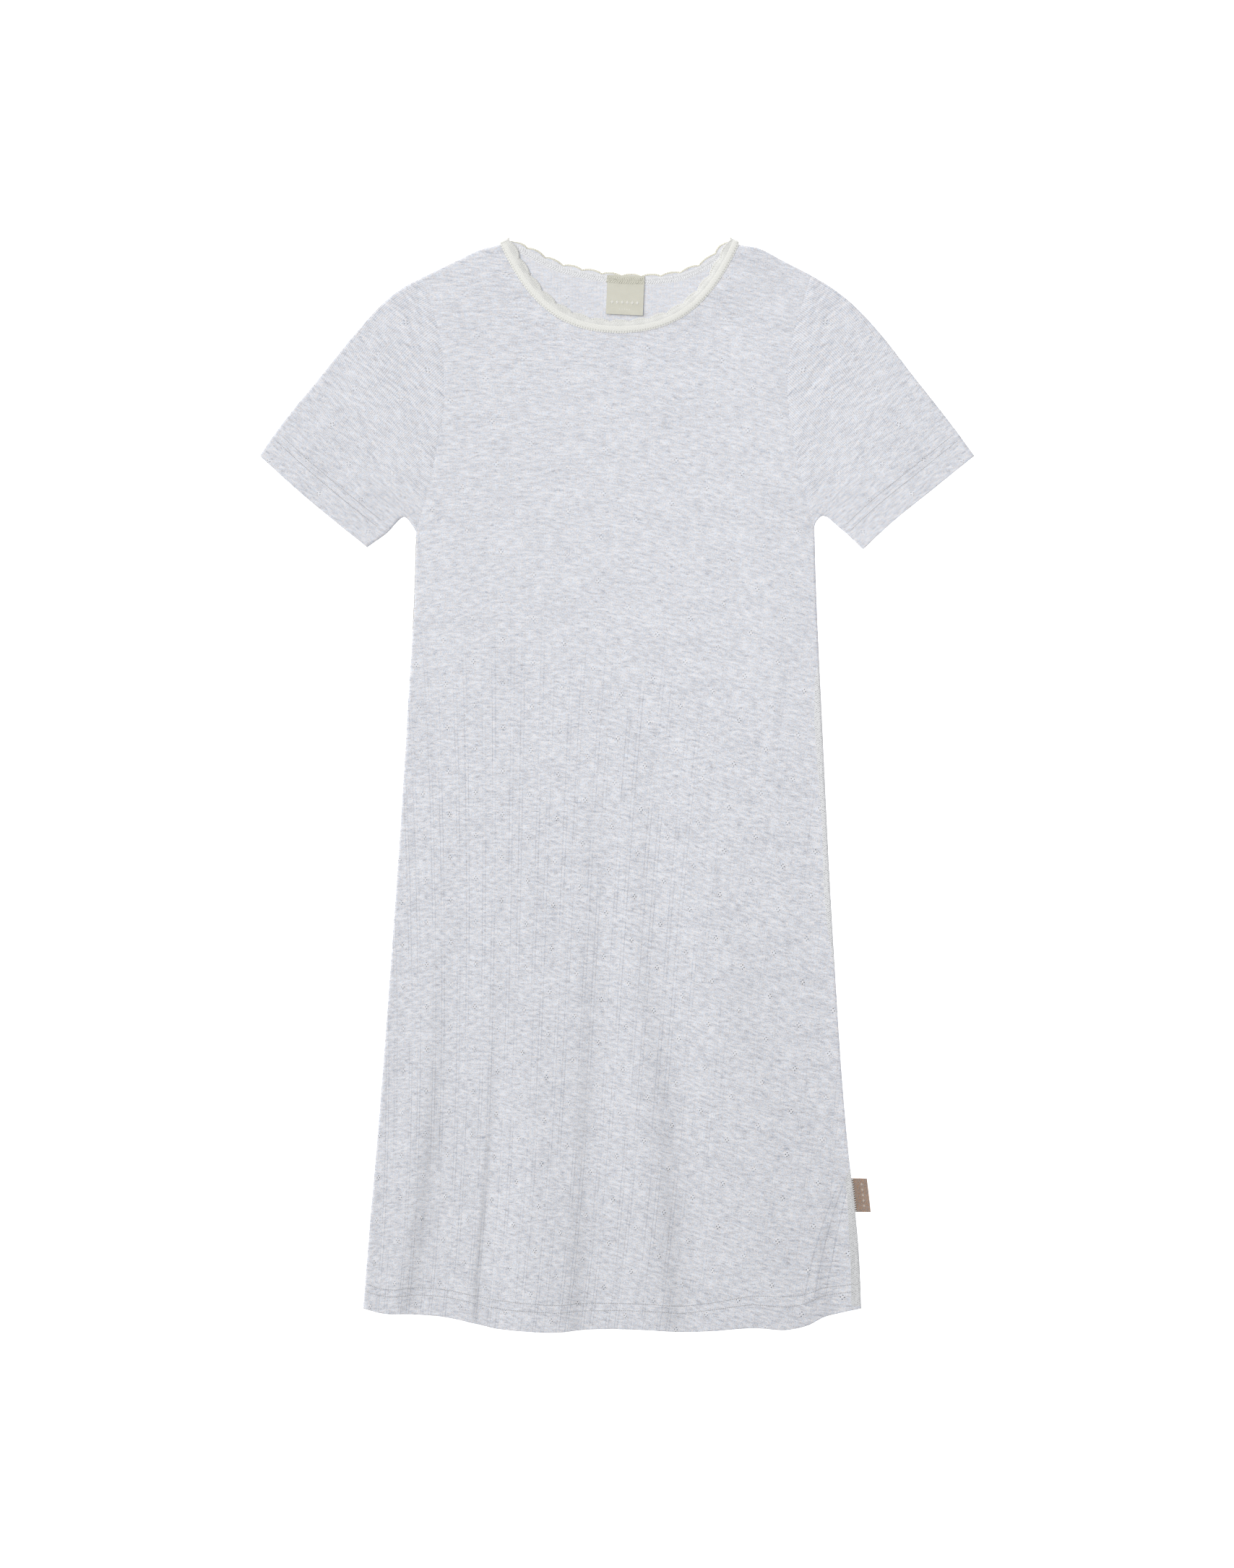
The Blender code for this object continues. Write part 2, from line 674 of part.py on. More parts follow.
def trim_section(station, front_height):
    """The points round the strip's section at one station."""
    outer, across, turn, width = station
    outward = np.array([-across[1], across[0]])
    if across[0] < 0.0:
        outward = -outward
    profile = (
        # across the strip, out from the cloth
        (0.0, 0.0),
        (0.0, BAND_WALL),
        (BAND_WIDTH, BAND_WALL),
        (BAND_WIDTH + LACE_STEP, LACE_WALL),
        (width, LACE_WALL),
        (width, 0.0),
    )
    points = []
    for reach, out in profile:
        plan = outer + across * reach
        front_face = front_height(*plan) + SEAM_GAP
        if turn == math.pi:
            points.append((*plan, BAND_WALL - out))
            continue
        radius = (front_face - BAND_WALL) / 2.0 + out
        plan = plan + outward * radius * math.sin(turn)
        points.append((*plan, (front_face + BAND_WALL) / 2.0 + radius * math.cos(turn)))
    return points


def neck_trim(front_upper, material):
    """The elastic trim: a flat band with a scalloped lace edge, one closed ring."""
    front_height = surface_reader(front_upper)
    sections = [trim_section(station, front_height) for station in trim_stations()]
    size = len(sections[0])
    faces = ring_faces(len(sections), size, 0, True, True)
    return add_solid("neck_trim", np.vstack(sections), faces, material)


# ---------------------------------------------------------------- labels


def neck_label(back_upper, material):
    """A woven label sewn flat inside the back neck."""
    height = surface_reader(back_upper)
    columns, rows = NECK_LABEL_CELLS
    along = np.array([math.cos(NECK_LABEL_TURN), math.sin(NECK_LABEL_TURN)])
    up = np.array([-along[1], along[0]])
    lower = np.zeros((rows + 1, columns + 1, 3))
    for row in range(rows + 1):
        for column in range(columns + 1):
            x = (column / columns - 0.5) * NECK_LABEL_WIDTH
            y = (row / rows - 0.5) * NECK_LABEL_LENGTH
            plan = np.array(NECK_LABEL_CENTRE) + along * x + up * y
            lower[row, column] = (*plan, height(*plan) + SEAM_GAP)
    upper = lower + np.array([0.0, 0.0, LABEL_WALL])
    return sheet_solid("neck_label", lower, upper, material)


def side_label(material):
    """A folded woven label held in the right side seam, its free edge resting flat."""
    columns, rows = SIDE_LABEL_CELLS
    seam = SIDES[RIGHT]
    seam_points = seam.points
    lower = np.zeros((rows + 1, columns + 1, 3))
    for row in range(rows + 1):
        seam_y = SIDE_LABEL_TOP_Y - SIDE_LABEL_LENGTH * (1.0 - row / rows)
        seam_x = np.interp(seam_y, seam_points[:, 1], seam_points[:, 0])
        for column in range(columns + 1):
            share = column / columns
            x = seam_x + SEAM_GAP + share * SIDE_LABEL_WIDTH
            y = seam_y - SIDE_LABEL_TILT * share
            lower[row, column] = (x, y, SIDE_LABEL_DROP * (1.0 - smoothstep(share * SIDE_LABEL_SETTLE)))
    upper = lower + np.array([0.0, 0.0, LABEL_WALL])
    return sheet_solid("side_label", lower, upper, material)


def main():
    """Build the dress."""
    clear_scene()
    jersey = finish("heather_jersey", (0.70, 0.71, 0.75), 0.9)
    elastic = finish("cream_elastic", (0.78, 0.78, 0.74), 0.75)
    satin = finish("sage_label", (0.67, 0.665, 0.58), 0.6)
    brown = finish("brown_label", (0.37, 0.28, 0.227), 0.65)
    front_upper = front_panel(jersey)
    back_upper = back_panel(jersey)
    sleeve("sleeve_left", LEFT, jersey)
    sleeve("sleeve_right", RIGHT, jersey)
    neck_trim(front_upper, elastic)
    neck_label(back_upper, satin)
    side_label(brown)


main()
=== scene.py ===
"""The looks of a child's t-shirt dress in pierced rib jersey, laid flat with its front up.

Units are metres and +Z is up. The hem lies towards -Y. Left and right are as seen from above.
Each CAD node is replaced by a thin shell on its own form, and stitches, lace and labels are
added to it.
"""

import json
import logging
import math
from collections.abc import Callable, Iterable, Sequence
from dataclasses import dataclass, field
from enum import Enum

import bpy
import numpy as np
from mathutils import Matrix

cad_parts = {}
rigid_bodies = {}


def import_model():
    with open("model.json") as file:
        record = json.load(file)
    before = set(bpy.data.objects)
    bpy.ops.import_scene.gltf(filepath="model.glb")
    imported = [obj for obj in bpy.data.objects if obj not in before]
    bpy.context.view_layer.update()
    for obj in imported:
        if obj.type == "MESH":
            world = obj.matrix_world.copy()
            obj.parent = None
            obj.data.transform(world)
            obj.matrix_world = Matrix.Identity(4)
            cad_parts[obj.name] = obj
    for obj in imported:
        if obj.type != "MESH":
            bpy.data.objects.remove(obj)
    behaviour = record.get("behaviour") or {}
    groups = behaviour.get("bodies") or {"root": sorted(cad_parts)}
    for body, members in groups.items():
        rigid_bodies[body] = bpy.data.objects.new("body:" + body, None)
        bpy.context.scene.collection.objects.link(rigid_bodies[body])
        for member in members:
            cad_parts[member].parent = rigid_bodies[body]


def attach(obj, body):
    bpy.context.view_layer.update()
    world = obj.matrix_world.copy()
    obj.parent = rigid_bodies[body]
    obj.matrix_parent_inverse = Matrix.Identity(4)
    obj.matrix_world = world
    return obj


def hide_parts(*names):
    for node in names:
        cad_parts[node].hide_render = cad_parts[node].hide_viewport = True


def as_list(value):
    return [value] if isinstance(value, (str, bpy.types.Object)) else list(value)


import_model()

logging.basicConfig(level=logging.INFO, format="%(levelname)s %(message)s")
LOG = logging.getLogger("dress")
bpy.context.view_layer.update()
MM = 0.001
ROOT = "root"
Row = tuple[float, ...]
Array = np.ndarray
Piece = bpy.types.Object
Material = bpy.types.Material
Face = Callable[[Array, Array], Array]


class Side(Enum):
    """A side of the garment as seen from above."""

    LEFT = 0
    RIGHT = 1


class Slot(Enum):
    """The record's material slots."""

    JERSEY = "heather_jersey"
    ELASTIC = "cream_elastic"
    SAGE = "sage_label"
    BROWN = "brown_label"


# ---- curves in plan


def pairs(first: Array, second: Array) -> Array:
    """Two arrays spread over one grid, as pairs along a new last axis."""
    return np.stack(np.broadcast_arrays(first, second), axis=-1)


def smoothstep(value: Array | float) -> Array:
    """Ease from 0 to 1 as the value goes from 0 to 1."""
    value = np.clip(value, 0.0, 1.0)
    return value * value * (3.0 - 2.0 * value)


def evenly(count: int) -> Array:
    """This many shares from 0 to 1, evenly spaced."""
    return np.linspace(0.0, 1.0, count)


def quarter_round(distance: Array, run: float) -> Array:
    """Rise from 0 at an edge to 1 at a distance of one run, as a quarter circle does."""
    away = 1.0 - np.clip(distance / run, 0.0, 1.0)
    return np.sqrt(1.0 - away * away)


class PlanPath:
    """A smooth curve in plan through given points, read by the share of its length."""

    SAMPLES = 40
    PROBE = 0.002

    def __init__(self, points: Sequence[Sequence[float]]) -> None:
        """Take the points in order.

        Args:
            points: Two or more (x, y) points, in metres.
        """
        self.points = self.smooth(np.array(points, dtype=float))
        steps = np.linalg.norm(np.diff(self.points, axis=0), axis=1)
        self.lengths = np.concatenate([[0.0], np.cumsum(steps)])
        self.length = float(self.lengths[-1])

    @classmethod
    def smooth(cls, knots: Array) -> Array:
        """Read a Hermite curve through the knots, with slopes from each knot's neighbours.

        Args:
            knots: The given points, one a row.

        Returns:
            Closely spaced points of the curve.
        """
        if len(knots) < 3:
            return knots
        marks = np.concatenate([[0.0], np.cumsum(np.linalg.norm(np.diff(knots, axis=0), axis=1))])
        slopes = np.gradient(knots, marks, axis=0)
        pieces = []
        for i in range(len(knots) - 1):
            run = marks[i + 1] - marks[i]
            t = np.linspace(0.0, 1.0, cls.SAMPLES, endpoint=False)[:, None]
            pieces.append(
                (2 * t**3 - 3 * t**2 + 1) * knots[i]
                + (t**3 - 2 * t**2 + t) * run * slopes[i]
                + (3 * t**2 - 2 * t**3) * knots[i + 1]
                + (t**3 - t**2) * run * slopes[i + 1]
            )
        return np.vstack(pieces + [knots[-1:]])

    def at(self, shares: Array | Sequence[float] | float) -> Array:
        """The points at these shares of the length.

        Args:
            shares: The shares of the length, from 0 to 1.

        Returns:
            The points, along a new last axis.
        """
        marks = np.asarray(shares, dtype=float) * self.length
        axes = [np.interp(marks, self.lengths, self.points[:, axis]) for axis in (0, 1)]
        return np.stack(axes, axis=-1)

    def normal(self, shares: Array | Sequence[float] | float) -> Array:
        """The unit vectors to the left of the path's direction at these shares.

        Args:
            shares: The shares of the length, from 0 to 1.

        Returns:
            The vectors, along a new last axis.
        """
        shares = np.asarray(shares, dtype=float)
        ahead = self.at(np.minimum(shares + self.PROBE, 1.0))
        behind = self.at(np.maximum(shares - self.PROBE, 0.0))
        along = ahead - behind
        across = np.stack([-along[..., 1], along[..., 0]], axis=-1)
        return across / np.linalg.norm(across, axis=-1, keepdims=True)


def table_path(rows: Sequence[Row], x_column: int, y_column: int) -> PlanPath:
    """A path through two columns of a table in millimetres."""
    return PlanPath([(row[x_column] * MM, row[y_column] * MM) for row in rows])


def path_pair(rows: Sequence[Row]) -> list[PlanPath]:
    """The left and the right path of a table of left x, left y, right x, right y."""
    return [table_path(rows, 0, 1), table_path(rows, 2, 3)]


def line_distance(line: Array, x: Array, y: Array) -> Array:
    """The distance in plan from each point to a line.

    Args:
        line: The line's points, one a row.
        x: The places' x.
        y: The places' y.

    Returns:
        The distances, in the places' own shape.
    """
    starts = line[:-1]
    runs = line[1:] - starts
    squares = np.maximum((runs**2).sum(axis=1), 1e-18)
    away_x = x[..., None] - starts[:, 0]
    away_y = y[..., None] - starts[:, 1]
    share = np.clip((away_x * runs[:, 0] + away_y * runs[:, 1]) / squares, 0.0, 1.0)
    return np.hypot(away_x - share * runs[:, 0], away_y - share * runs[:, 1]).min(axis=-1)


def nearest(lines: Iterable[Array], x: Array, y: Array) -> Array:
    """The distance in plan to the nearest of several lines."""
    return np.min([line_distance(line, x, y) for line in lines], axis=0)


# ---- the cut


@dataclass(frozen=True)
class Cut:
    """The garment's outline and the form its cloth lies in, close to the CAD solids'."""

    cloth: float = 1.0 * MM
    gap: float = 0.3 * MM
    loft: float = 0.8 * MM
    loft_run: float = 36.0 * MM
    neck_settle: float = 60.0 * MM
    band_wall: float = 1.2 * MM
    scallop_root: float = 6.6 * MM
    scallop_tip: float = 8.4 * MM
    scallop_tip_back: float = 8.3 * MM
    scallop_pitch: float = 13.0 * MM
    scallop_fullness: float = 0.7
    scallop_end_run: float = 6.0 * MM
    panel_under_trim: float = 6.0 * MM
    cord_width: float = 1.7 * MM
    neck_centre_x: float = 1.7 * MM
    neck_half_width: float = 80.0 * MM
    neck_top_y: float = 361.9 * MM
    front_neck_depth: float = 59.3 * MM
    back_turn_run: float = 18.0 * MM
    raise_full: float = 14.0 * MM
    raise_run: float = 30.0 * MM
    rise_top_y: float = 30.0 * MM
    rise_hem_y: float = -352.0 * MM
    # along the roots of the scallops: x, y
    back_neck: tuple[Row, ...] = (
        (-61.6, 360.9), (-49.2, 354.6), (-37.8, 349.2), (-25.7, 346.1), (-12.1, 343.4),
        (1.7, 341.6), (14.8, 341.2), (28.1, 341.5), (39.8, 343.2), (51.9, 347.3),
        (62.1, 353.3), (69.8, 360.6),
    )
    # left x, left y, right x, right y
    side_seams: tuple[Row, ...] = (
        (-170.6, -352, 163.9, -352), (-167.8, -317.4, 162.5, -317.4),
        (-165.4, -288, 160, -288), (-162, -249.5, 155.6, -249.5),
        (-150.8, -104, 145, -104), (-141.1, 41.5, 137.7, 41.5),
        (-135.8, 138.5, 133.4, 138.5), (-135, 169, 132.6, 169),
    )
    armholes: tuple[Row, ...] = (
        (-135, 169, 132.6, 169), (-129, 188, 127.9, 188),
        (-122.5, 216, 121, 216), (-116.3, 250, 114.9, 250),
        (-115.4, 272, 114.1, 272), (-117.7, 296, 116.7, 296),
        (-124.3, 321, 123.5, 321), (-130.7, 340.2, 130, 341.7),
    )
    shoulders: tuple[Row, ...] = (
        (-130.7, 340.2, 130, 341.7), (-111.1, 349.5, 112, 350.9),
        (-88, 359.6, 90.5, 360.6), (-80.6, 361.3, 83.9, 361.3),
    )
    sleeve_tops: tuple[Row, ...] = (
        (-130.7, 340.2, 130, 341.7), (-144, 333, 144.3, 333),
        (-157.1, 322.8, 157.4, 322.8), (-174.9, 303.5, 175.7, 303.5),
        (-198.6, 274.3, 198.6, 274.3), (-229.6, 235.5, 228.8, 235.5),
        (-239.9, 220.3, 239.8, 220.3),
    )
    cuffs: tuple[Row, ...] = (
        (-167.6, 158.8, 165, 157.4), (-186.4, 173.8, 182.4, 173.7),
        (-215.3, 197.9, 211.6, 197.5), (-239.9, 220.3, 239.8, 220.3),
    )
    underarms: tuple[Row, ...] = (
        (-135, 169, 132.6, 169), (-137.6, 173.2, 133.2, 174.3),
        (-142, 178.8, 137.2, 179.6), (-154.7, 168.2, 150.3, 171.2),
        (-167.6, 158.8, 165, 157.4),
    )
    # x, y
    front_hem: tuple[Row, ...] = (
        (-170.6, -352), (-158, -355.2), (-139.7, -355.8), (-114, -357.8),
        (-96.5, -361.6), (-82, -364.9), (-62, -366.8), (-40.7, -367.5),
        (-22, -365.8), (-2, -365.3), (21.3, -365.9), (45, -367.4), (60, -367),
        (91.7, -364.8), (116.4, -365.8), (129.5, -362.5), (137.7, -358.2), (150, -355),
        (163.9, -352),
    )
    back_hem: tuple[Row, ...] = (
        (-170.6, -352), (-85, -359.1), (-3, -361.5), (80, -359.3), (163.9, -352),
    )

    def __post_init__(self) -> None:
        """Work out the paths and lines that the other methods read."""
        keep = object.__setattr__
        keep(self, "sides", path_pair(self.side_seams))
        keep(self, "arms", path_pair(self.armholes))
        keep(self, "sleeve_edges", path_pair(self.sleeve_tops))
        keep(self, "cuff_edges", path_pair(self.cuffs))
        keep(self, "underarm_edges", path_pair(self.underarms))
        keep(self, "hem", table_path(self.front_hem, 0, 1))
        keep(self, "neck_outer", self.front_neck(0.0))
        keep(self, "fold_starts", self.neck_outer.at([0.0, 1.0]))
        keep(self, "fold_across", self.neck_outer.normal([0.0, 1.0]))
        keep(self, "back_roots", self.back_neck_roots())
        keep(self, "shoulder_seams", [self.shoulder(side) for side in Side])
        marks = evenly(25)
        closed = self.sides + self.underarm_edges + self.sleeve_edges + self.shoulder_seams
        keep(self, "closed_lines", [path.at(marks) for path in closed])
        keep(self, "side_lines", [path.at(marks) for path in self.sides])
        keep(self, "neck_line", self.front_neck(self.panel_under_trim).at(evenly(61)))
        keep(self, "arm_lines", [path.at(marks) for path in self.arms])
        frames = [self.back_trim_frame(share) for share in evenly(41)]
        middle = [outer + across * self.scallop_root / 2.0 for outer, across in frames]
        keep(self, "back_trim_middle", np.array(middle))

    def front_neck(self, width: float) -> PlanPath:
        """The front neckline from left to right, this far in from the trim's outer edge.

        Args:
            width: The distance from the trim's outer edge, in metres.

        Returns:
            The line's path.
        """
        share = np.linspace(-1.0, 1.0, 161)
        x = self.neck_centre_x + self.neck_half_width * share
        fall = 1.0 - (share**2 + share**4) / 2.0
        outer = PlanPath(np.stack([x, self.neck_top_y - self.front_neck_depth * fall], axis=-1))
        marks = evenly(161)
        return PlanPath(outer.at(marks) + outer.normal(marks) * width)

    def back_neck_roots(self) -> PlanPath:
        """The line of the scallops' roots along the back neckline, from left to right.

        Returns:
            The line's path.
        """
        ends = self.fold_starts + self.fold_across * self.scallop_root
        points = [(x * MM, y * MM) for x, y in self.back_neck]
        return PlanPath([tuple(ends[0])] + points + [tuple(ends[1])])

    def shoulder(self, side: Side) -> PlanPath:
        """The shoulder seam from the armhole to the panel's neck corner.

        Args:
            side: Which side.

        Returns:
            The seam's path.
        """
        at = side.value
        corner = self.fold_starts[at] + self.fold_across[at] * self.panel_under_trim
        points = [(row[2 * at] * MM, row[2 * at + 1] * MM) for row in self.shoulders]
        return PlanPath(points + [tuple(corner)])

    def back_trim_frame(self, share: float) -> tuple[Array, Array]:
        """The trim along the back neckline.

        Args:
            share: The place along the back neckline, from left to right.

        Returns:
            The point on the trim's outer edge, and the unit vector across the trim.
        """
        side = 0 if share < 0.5 else 1
        from_end = min(share, 1.0 - share) * self.back_roots.length
        blend = smoothstep(from_end / self.back_turn_run)
        across = (1.0 - blend) * self.fold_across[side] + blend * self.back_roots.normal(share)
        across = across / np.linalg.norm(across)
        return self.back_roots.at(share) - across * self.scallop_root, across

    def scallop(self, phase: float, tip: float) -> float:
        """The trim's width at a phase of its scallops."""
        bulge = abs(math.sin(math.pi * phase)) ** self.scallop_fullness
        return self.scallop_root + (tip - self.scallop_root) * bulge

    def back_panel_neck(self, shares: Array) -> Array:
        """The back panel's own neck edge, which follows the scallops inside their cord.

        Args:
            shares: The places along the back neckline.

        Returns:
            The edge's points, one a row.
        """
        scallops = round(self.back_roots.length / self.scallop_pitch)
        points = []
        for share in shares:
            outer, across = self.back_trim_frame(share)
            from_end = min(share, 1.0 - share) * self.back_roots.length
            inside = self.scallop(share * scallops, self.scallop_tip_back) - self.cord_width
            blend = smoothstep(from_end / self.scallop_end_run)
            points.append(outer + across * (self.panel_under_trim * (1.0 - blend) + inside * blend))
        return np.array(points)

    def back_lift(self, x: Array, y: Array) -> Array:
        """How far the back panel is lifted where it lies over the neck trim."""
        beyond = line_distance(self.back_trim_middle, x, y) - self.raise_full
        return (self.band_wall + self.gap) * (1.0 - smoothstep(beyond / self.raise_run))

    def seam_x(self, side: Side, y: Array) -> Array:
        """The x of a side seam at these heights."""
        seam = self.sides[side.value].points
        return np.interp(y, seam[:, 1], seam[:, 0])

    def front_face(self, x: Array, y: Array) -> Array:
        """The height of the front cloth's upper face, away from its edges and folds.

        Args:
            x: The places' x, in metres.
            y: The places' y, in metres.

        Returns:
            The heights.
        """
        loft = self.loft * smoothstep(nearest(self.closed_lines, x, y) / self.loft_run)
        loft = loft * smoothstep(line_distance(self.neck_line, x, y) / self.neck_settle)
        return 2.0 * self.cloth + self.gap + self.back_lift(x, y) + loft


@dataclass(frozen=True)
class Drape:
    """How the thin cloth lies on the solids' form: soft edges, seams drawn in and creases."""

    cut: Cut
    wall: float = 0.8 * MM
    rim: float = 0.02 * MM
    edge_run: float = 2.0 * MM
    under_run: float = 1.3 * MM
    open_run: float = 0.5 * MM
    open_depth: float = 0.45
    seam_dip: float = 0.16 * MM
    seam_run: float = 2.2 * MM
    hem_turn: float = 17.0 * MM
    hem_fold: float = 0.45 * MM
    rise: float = 4.4 * MM
    rise_power: float = 1.15
    rise_side_runs: Row = (65.0 * MM, 100.0 * MM)
    # each fold from the hem up: y, x of its steep side, half run of that side, drop, recovery
    folds: tuple[tuple[Row, ...], ...] = (
        (
            (-352, -142.5, 8, 3.4, 95), (-327, -137.5, 7.5, 3.4, 90),
            (-283, -131, 8, 3.7, 80), (-220, -123.5, 8, 2.9, 60),
            (-148, -122, 8.5, 1.5, 34), (-85, -114, 9, 0.6, 30),
            (-22, -110, 9, 0, 30),
        ),
        (
            (-352, -95, 1.9, 1.35, 34), (-327, -93.7, 1.9, 1.4, 34),
            (-283, -89.6, 1.9, 1.45, 34), (-220, -84.8, 2.6, 0.9, 26),
            (-148, -82, 4, 0.4, 26), (-85, -80, 5, 0.1, 26),
            (-22, -79, 5, 0, 26),
        ),
        (
            (-352, -28.5, 7, 2.2, 50), (-327, -27.2, 7, 2.1, 45),
            (-283, -26.2, 6.5, 1.6, 40), (-220, -23.3, 6, 1.7, 36),
            (-148, -19.4, 7, 1.1, 32), (-85, -18, 8, 0.8, 28),
            (-22, -16, 9, 0.6, 24), (30, -16, 9, 0, 24),
        ),
        (
            (-352, 37, 8.5, 2.9, 70), (-327, 37, 8.5, 2.9, 70),
            (-283, 34.5, 8.5, 2.8, 66), (-220, 31.5, 8.5, 2.05, 60),
            (-148, 19.5, 8.5, 1.6, 50), (-85, 15.5, 7.5, 1.1, 45),
            (-22, 12.6, 6, 0.6, 40), (30, 12, 8, 0, 40),
        ),
        (
            (-352, 139, 7.5, 1.5, 26), (-327, 141, 7, 1.3, 24),
            (-283, 145, 8, 0.85, 22), (-220, 148, 8, 0.2, 20),
            (-148, 150, 8, 0, 20),
        ),
        (
            (-352, 80, 25, 0.7, 80), (-283, 80, 25, 1.1, 80),
            (-220, 80, 25, 1.3, 80), (-148, 80, 25, 1.2, 75),
            (-85, 85, 25, 0.8, 70), (-22, 85, 25, 0.5, 60),
            (30, 85, 25, 0, 60),
        ),
        (
            (-352, -126, 10, 0.7, 60), (-327, -125, 10, 0.7, 60),
            (-283, -121, 10, 0.4, 60), (-220, -115, 10, 0, 60),
        ),
    )
    # half width, depth, then x and y of each point
    creases: tuple[Row, ...] = (
        (3, 0.55, -149.9, 291.2, -125.6, 264.6), (3, 0.50, 146, 288.8, 124.2, 259.7),
        (1.6, 0.50, -132.9, 165.1, -128, 143.3), (1.6, 0.45, 133.9, 181.2, 130, 171.5),
        (
            1.6, 0.32, 155.2, -261.7, 153.3, -273.8, 148.4, -289.3, 141.6, -306.3, 138.7, -322.3,
            137.3, -339.3, 133.9, -352.4,
        ),
    )

    # the hem's twin rows: x, then the lower and the upper row's height over the edge, in mm
    sewing: tuple[Row, ...] = (
        (-169, 12.1, 17), (-149, 11.7, 16.3), (-135, 13.3, 18.2), (-104, 13.6, 18.4),
        (-75, 13.7, 19.1), (-50, 13.5, 18.6), (-14, 12.5, 17.5), (30, 12.8, 17.4),
        (42, 12.5, 17.2), (66, 14.5, 19.2), (90, 15.8, 21.5), (114, 15.5, 22.4),
        (130, 15.2, 21.2), (139, 14.5, 19.7), (151, 13.1, 18.1), (162, 12.1, 17),
    )

    def sewing_at(self, x: Array) -> tuple[Array, Array]:
        """The heights of the hem's lower and upper row of sewing over its edge."""
        table = np.array(self.sewing) * MM
        return np.interp(x, table[:, 0], table[:, 1]), np.interp(x, table[:, 0], table[:, 2])

    def hem_place(self, x: Array, y: Array) -> Array:
        """The height over the hem's edge, counted so that its rows of sewing lie at 12 and 17.

        Args:
            x: The places' x, in metres.
            y: The places' y, in metres.

        Returns:
            The counted heights.
        """
        hem = self.cut.hem.points
        low, high = self.sewing_at(x)
        return 12.0 + 5.0 * (y - np.interp(x, hem[:, 0], hem[:, 1]) - low) / (high - low)

    def middle(self, x: Array, y: Array) -> Array:
        """The height at which the front and the back meet along a closed edge."""
        return self.cut.cloth + self.cut.gap / 2.0 + self.cut.back_lift(x, y)

    def closed_share(self, x: Array, y: Array, run: float) -> Array:
        """From 0 on a closed edge to 1 one run inside it."""
        return quarter_round(nearest(self.cut.closed_lines, x, y), run)

    def open_drop(self, x: Array, y: Array) -> Array:
        """How far each face of the wall turns in at the hem, the cuffs and the neck edge.

        Args:
            x: The places' x, in metres.
            y: The places' y, in metres.

        Returns:
            The distances.
        """
        marks = evenly(81)
        lines = [self.cut.hem.at(marks)] + [path.at(marks) for path in self.cut.cuff_edges]
        away = nearest(lines, x, y)
        return self.wall * self.open_depth * (1.0 - quarter_round(away, self.open_run))

    def fold_rise(self, x: Array, y: Array) -> Array:
        """How far the skirt's front rises, less the drop on the right of each fold.

        Args:
            x: The places' x, in metres.
            y: The places' y, in metres.

        Returns:
            The rises.
        """
        cut = self.cut
        climb = np.clip((cut.rise_top_y - y) / (cut.rise_top_y - cut.rise_hem_y), 0.0, 1.1)
        total = self.rise * climb**self.rise_power
        for line, run in zip(cut.side_lines, self.rise_side_runs):
            total = total * smoothstep(line_distance(line, x, y) / run)
        for rows in self.folds:
            table = np.array(rows) * MM
            centre, run, drop, back = (np.interp(y, table[:, 0], table[:, k]) for k in range(1, 5))
            step = 0.5 + 0.5 * np.tanh(1.3 * (x - centre) / run)
            total = total - drop * step * (1.0 - smoothstep((x - centre - run) / back))
        return np.maximum(total, -self.cut.loft * 1.1)

    def front_top(self, x: Array, y: Array) -> Array:
        """The upper face of the front, on the panel and on the sleeves alike.

        Args:
            x: The places' x, in metres.
            y: The places' y, in metres.

        Returns:
            The heights.
        """
        full = self.cut.front_face(x, y) + self.fold_rise(x, y)
        from_seam = nearest(self.cut.arm_lines, x, y) / self.seam_run
        full = full - self.seam_dip * np.exp(-(from_seam**2))
        for width, depth, *places in self.creases:
            line = np.array(places).reshape(-1, 2) * MM
            away = line_distance(line, x, y) / (width * MM)
            full = full - depth * MM * np.exp(-(away**2))
        middle = self.middle(x, y)
        return middle + self.rim + (full - middle) * self.closed_share(x, y, self.edge_run)

    def front_low(self, x: Array, y: Array) -> Array:
        """The lower face of the front, thicker along the hem's turned-up cloth.

        Args:
            x: The places' x, in metres.
            y: The places' y, in metres.

        Returns:
            The heights.
        """
        top = self.front_top(x, y)
        turned = line_distance(self.cut.hem.at(evenly(81)), x, y)
        fold = self.hem_fold * (1.0 - smoothstep((turned - self.hem_turn) / MM))
        return np.maximum(self.middle(x, y), top - self.wall - fold)

    def back_top(self, x: Array, y: Array) -> Array:
        """The upper face of the back."""
        share = self.closed_share(x, y, self.under_run)
        return self.middle(x, y) - self.rim - self.cut.gap / 2.0 * share

    def back_low(self, x: Array, y: Array) -> Array:
        """The lower face of the back, which rests on the surface.

        Args:
            x: The places' x, in metres.
            y: The places' y, in metres.

        Returns:
            The heights.
        """
        middle = self.middle(x, y) - 2.0 * self.rim
        share = self.closed_share(x, y, self.under_run)
        return middle - (middle - self.cut.back_lift(x, y)) * share


# ---- the knit's grain


def lagrange(nodes: Array, value: Array) -> Array:
    """The weights that carry values given at the nodes to other places.

    Args:
        nodes: The places where values are given.
        value: The places to read.

    Returns:
        One weight for each node, along a new last axis.
    """
    weights = []
    for i, node in enumerate(nodes):
        others = np.delete(nodes, i)
        weights.append(np.prod((value[..., None] - others) / (node - others), axis=-1))
    return np.stack(weights, axis=-1)


